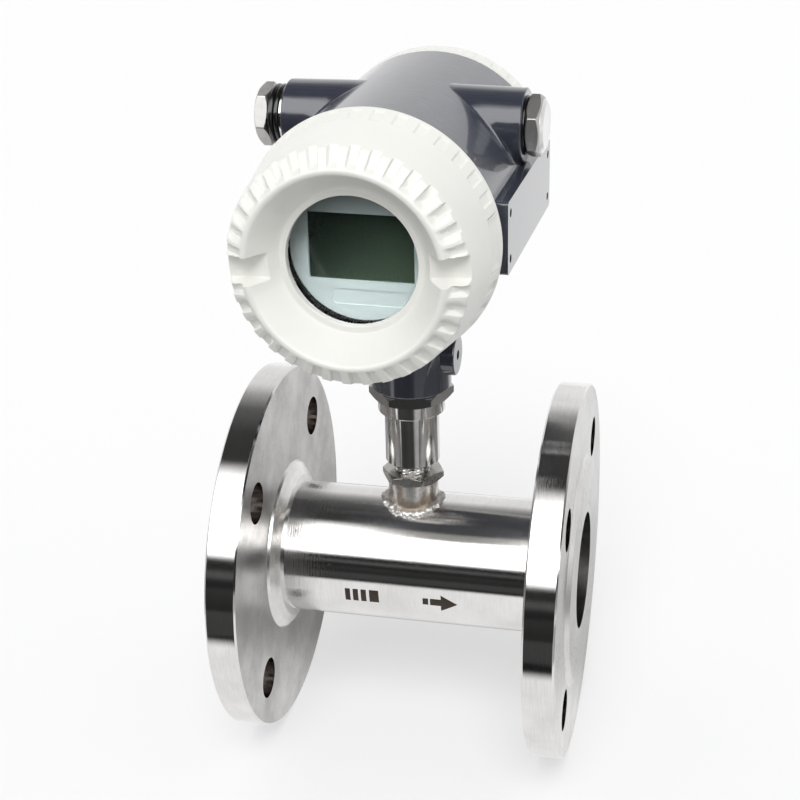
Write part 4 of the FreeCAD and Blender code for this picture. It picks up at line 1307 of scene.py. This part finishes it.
dress("main_board", "board", 0.1)
dress("display_board", "board", 0.1)
dress("board_standoffs", "nickel", 0.2)
dress("display_standoffs", "nickel", 0.2)
dress("display_screws", "zinc", 0.3)
dress("terminal_block", "terminal", 0.2)
dress("terminal_screws", "zinc", 0.1)
dress("terminal_fixings", "zinc", 0.4)
dress("signal_lead", "lead", 0.0, 60)
dress("lead_plug", "terminal", 0.3)
print("electronics made")


# Flow marks, etched on the pipe. Each outline is (along the pipe, up the round of the pipe).

flowMarks = [
    [(48.3, -2.9), (50.6, -2.9), (50.5, -9.8), (48.2, -9.8)],
    [(51.8, -2.9), (54.2, -2.8), (54.1, -9.7), (51.7, -9.7)],
    [(55.4, -2.8), (57.8, -2.8), (57.7, -9.7), (55.3, -9.7)],
    [(59.2, -2.7), (63.4, -2.7), (63.4, -9.6), (59.1, -9.7)],
    [(83.2, -4.4), (85.7, -4.3), (85.6, -7.9), (83.1, -7.9)],
    [(86.5, -4.3), (91.3, -4.3), (91.3, -2.0), (98.6, -6.3), (91.1, -11.2), (91.2, -8.0), (86.4, -8.0)],
]
markHeight = 0.05


def etched(name, corners):
    # Thin plate cut into narrow strips and bent round the pipe.
    plate = prism(name, corners[::-1], markHeight)
    shape = bmesh.new()
    shape.from_mesh(plate.data)
    for strip in range(-14, 0):
        parts = list(shape.verts) + list(shape.edges) + list(shape.faces)
        bmesh.ops.bisect_plane(shape, geom=parts, plane_co=(0, strip, 0), plane_no=(0, 1, 0))
    radius = pipeLook["outer"]
    for vertex in shape.verts:
        along, around, out = vertex.co
        turn = around / radius
        vertex.co = Vector((along, -(radius + out) * math.cos(turn), (radius + out) * math.sin(turn)))
    bmesh.ops.recalc_face_normals(shape, faces=shape.faces)
    shape.to_mesh(plate.data)
    shape.free()
    return coat(plate, "mark")


marks = place(join("flowMarks", [etched("mark", corners) for corners in flowMarks]), limit=40)
attach(marks, "measuring_tube")
print("flow marks made")


# Studio

studioLook = {
    "floorHeight": -82.5, "floorReach": 6.0, "floorColour": (0.93, 0.93, 0.935), "bounce": 0.42, "glow": 0.95,
    "cameraGlow": 0.5, "mirrorGlow": 0.75, "glowEnd": (0.07, 0.02), "ringStart": (0.235, 0.250),
    "ringEnd": (0.48, 0.44), "fillFront": 0.64, "fillSide": 0.86, "backdrop": 0.97,
    "sunRise": 52, "sunTurn": 6, "sunPower": 1.70, "sunSize": 30,
}
softbox = 3.0
# Brightness in reflections: of the room by degrees above the front, of the floor by metres behind the pipe,
# and of a ring on the floor by degrees about the neck.
roomBands = [
    (-180, 0.92), (-170, 0.92), (-90, 0.02), (4, 0.02), (6, 0.10), (9, 0.10), (11, 0.02), (17, 0.03),
    (22, softbox), (60, softbox), (78, 0.04), (100, 0.05), (120, 0.12), (134, 0.40), (147, 0.88), (180, 0.92),
]
# From 0.05 to 0.18 m behind the pipe the floor is darker in reflections: a painted shadow of the meter.
paperAndShadowBands = [
    (-1, 0.0), (-0.204, 0.0), (-0.176, 1.0), (0.01, 1.0), (0.05, 0.66), (0.18, 0.70), (0.30, 1.00), (1, 1.00),
]
ringBands = [
    (-180, 0.85), (-165, 0.40), (-120, 0.30), (-100, 0.60), (-56, 0.40), (-47, 0.50), (-44, 1.60),
    (-39, 1.60), (-35, 0.04), (17, 0.04), (25, 0.50), (60, 0.45), (120, 0.30), (140, 0.85), (180, 0.85),
]


def bands(value, stops):
    # Brightness along a value, from (value, brightness) stops.
    top = max(bright for spot, bright in stops)
    low, high = stops[0][0], stops[-1][0]
    ramp = value.tree.nodes.new("ShaderNodeValToRGB")
    elements = ramp.color_ramp.elements
    while len(elements) < len(stops):
        elements.new(0.5)
    for element, (spot, bright) in zip(elements, stops):
        element.position = (spot - low) / (high - low)
        element.color = (bright / top, bright / top, bright / top, 1)
    feed(ramp.inputs[0], spread(value, low, high, smooth=False))
    return Wire(ramp.outputs[0]) * top


def buildWorld():
    # Lights softly and more from the sides, shows white to the camera, and a softbox in reflections.
    look = studioLook
    world = bpy.data.worlds.new("studio")
    bpy.context.scene.world = world
    world.use_nodes = True
    tree = world.node_tree
    x, y, z = split(wires(tree.nodes.new("ShaderNodeTexCoord"))["Generated"])
    room = bands(sums("DEGREES", sums("ARCTAN2", z, y * -1.0)), roomBands)
    rays = wires(tree.nodes.new("ShaderNodeLightPath"))
    fill = spread(x ** 2, 0.0, 1.0, look["fillFront"], look["fillSide"], smooth=False)
    bright = chosen(rays["Is Glossy Ray"], room, fill)
    setInputs(tree.nodes["Background"], Color=(1, 1, 1, 1),
              Strength=chosen(rays["Is Camera Ray"], look["backdrop"], bright))


def directionTo(turn, rise):
    # Direction from the meter, turned from the front and raised from the floor by these angles.
    return Vector((math.sin(turn) * math.cos(rise), -math.cos(turn) * math.cos(rise), math.sin(rise)))


def buildSun():
    # Wide soft light from in front and above, even over the whole floor.
    look = studioLook
    sun = bpy.data.lights.new("softSun", "SUN")
    sun.energy = look["sunPower"]
    sun.angle = math.radians(look["sunSize"])
    holder = link("softSun", sun)
    holder.visible_glossy = False
    towards = directionTo(math.radians(look["sunTurn"]), math.radians(look["sunRise"]))
    holder.rotation_euler = towards.to_track_quat("Z", "Y").to_euler()


def buildFloor():
    # White paper that fades its shadows a little. In reflections it is banded, with a painted shadow of the meter from
    # about 0.05 to 0.18 m behind the pipe, and ends before the meter.
    look = studioLook
    material, tree, surface = newMaterial("studioPaper", Roughness=0.8)
    rays = wires(tree.nodes.new("ShaderNodeLightPath"))
    x, y, z = split(objectSpot(tree, shift=(-neckX * mm, 0, 0)))
    far = hypot(x, y)
    around = sums("DEGREES", sums("ARCTAN2", x, y * -1.0))
    ring = spread(far, *look["ringStart"]) * spread(far, *look["ringEnd"])
    mirrored = chosen(ring, bands(around, ringBands), bands(y, paperAndShadowBands))
    lit = 1.0 - rays["Is Diffuse Ray"] * (1 - look["bounce"])
    shown = chosen(rays["Is Glossy Ray"], mirrored, lit)
    setInputs(surface, Base_Color=blendColor(shown, (0, 0, 0), look["floorColour"]))
    glow = tree.nodes.new("ShaderNodeEmission")
    setInputs(glow, Strength=shown * look["glow"])
    front = spread(y, *look["glowEnd"], 0.0, look["mirrorGlow"])
    shine = rays["Is Camera Ray"] * look["cameraGlow"] + rays["Is Glossy Ray"] * front
    mixShaders(tree, shine, surface, glow)
    mesh = bpy.data.meshes.new("studioFloor")
    reach = look["floorReach"]
    height = look["floorHeight"] * mm
    corners = [(x, y, height) for x, y in ((-reach, -reach), (reach, -reach), (reach, reach),
                                           (-reach, reach))]
    mesh.from_pydata(corners, [], [(0, 1, 2, 3)])
    mesh.materials.append(material)
    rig.stage(link("studioFloor", mesh))


cameraLook = {"turn": 13.25, "rise": 24.75, "tilt": -1.54, "spot": (215.6, -624.05, 372.06), "lens": 73.34,
              "film": 36, "nearest": 0.01}


def buildCamera():
    look = cameraLook
    turn, rise, tilt = (math.radians(look[key]) for key in ("turn", "rise", "tilt"))
    back = directionTo(turn, rise)
    right = Vector((math.cos(turn), math.sin(turn), 0))
    up = back.cross(right)
    tilted = right * math.cos(tilt) + up * math.sin(tilt)
    upright = up * math.cos(tilt) - right * math.sin(tilt)
    camera = bpy.data.cameras.new("photoCamera")
    camera.lens = look["lens"]
    camera.sensor_width = look["film"]
    camera.clip_start = look["nearest"]
    holder = link("photoCamera", camera)
    facing = Matrix((tilted, upright, back)).transposed().to_4x4()
    holder.matrix_world = Matrix.Translation(Vector(look["spot"]) * mm) @ facing
    bpy.context.scene.camera = holder


buildWorld()
buildFloor()
buildSun()
buildCamera()
bpy.context.scene.view_settings.view_transform = "Standard"
print("studio made")

with open("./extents.json", "w") as report:
    boxes = {"cad": cadBox, "visual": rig.bounds()}
    json.dump({name: [list(corner) for corner in box] for name, box in boxes.items()}, report)
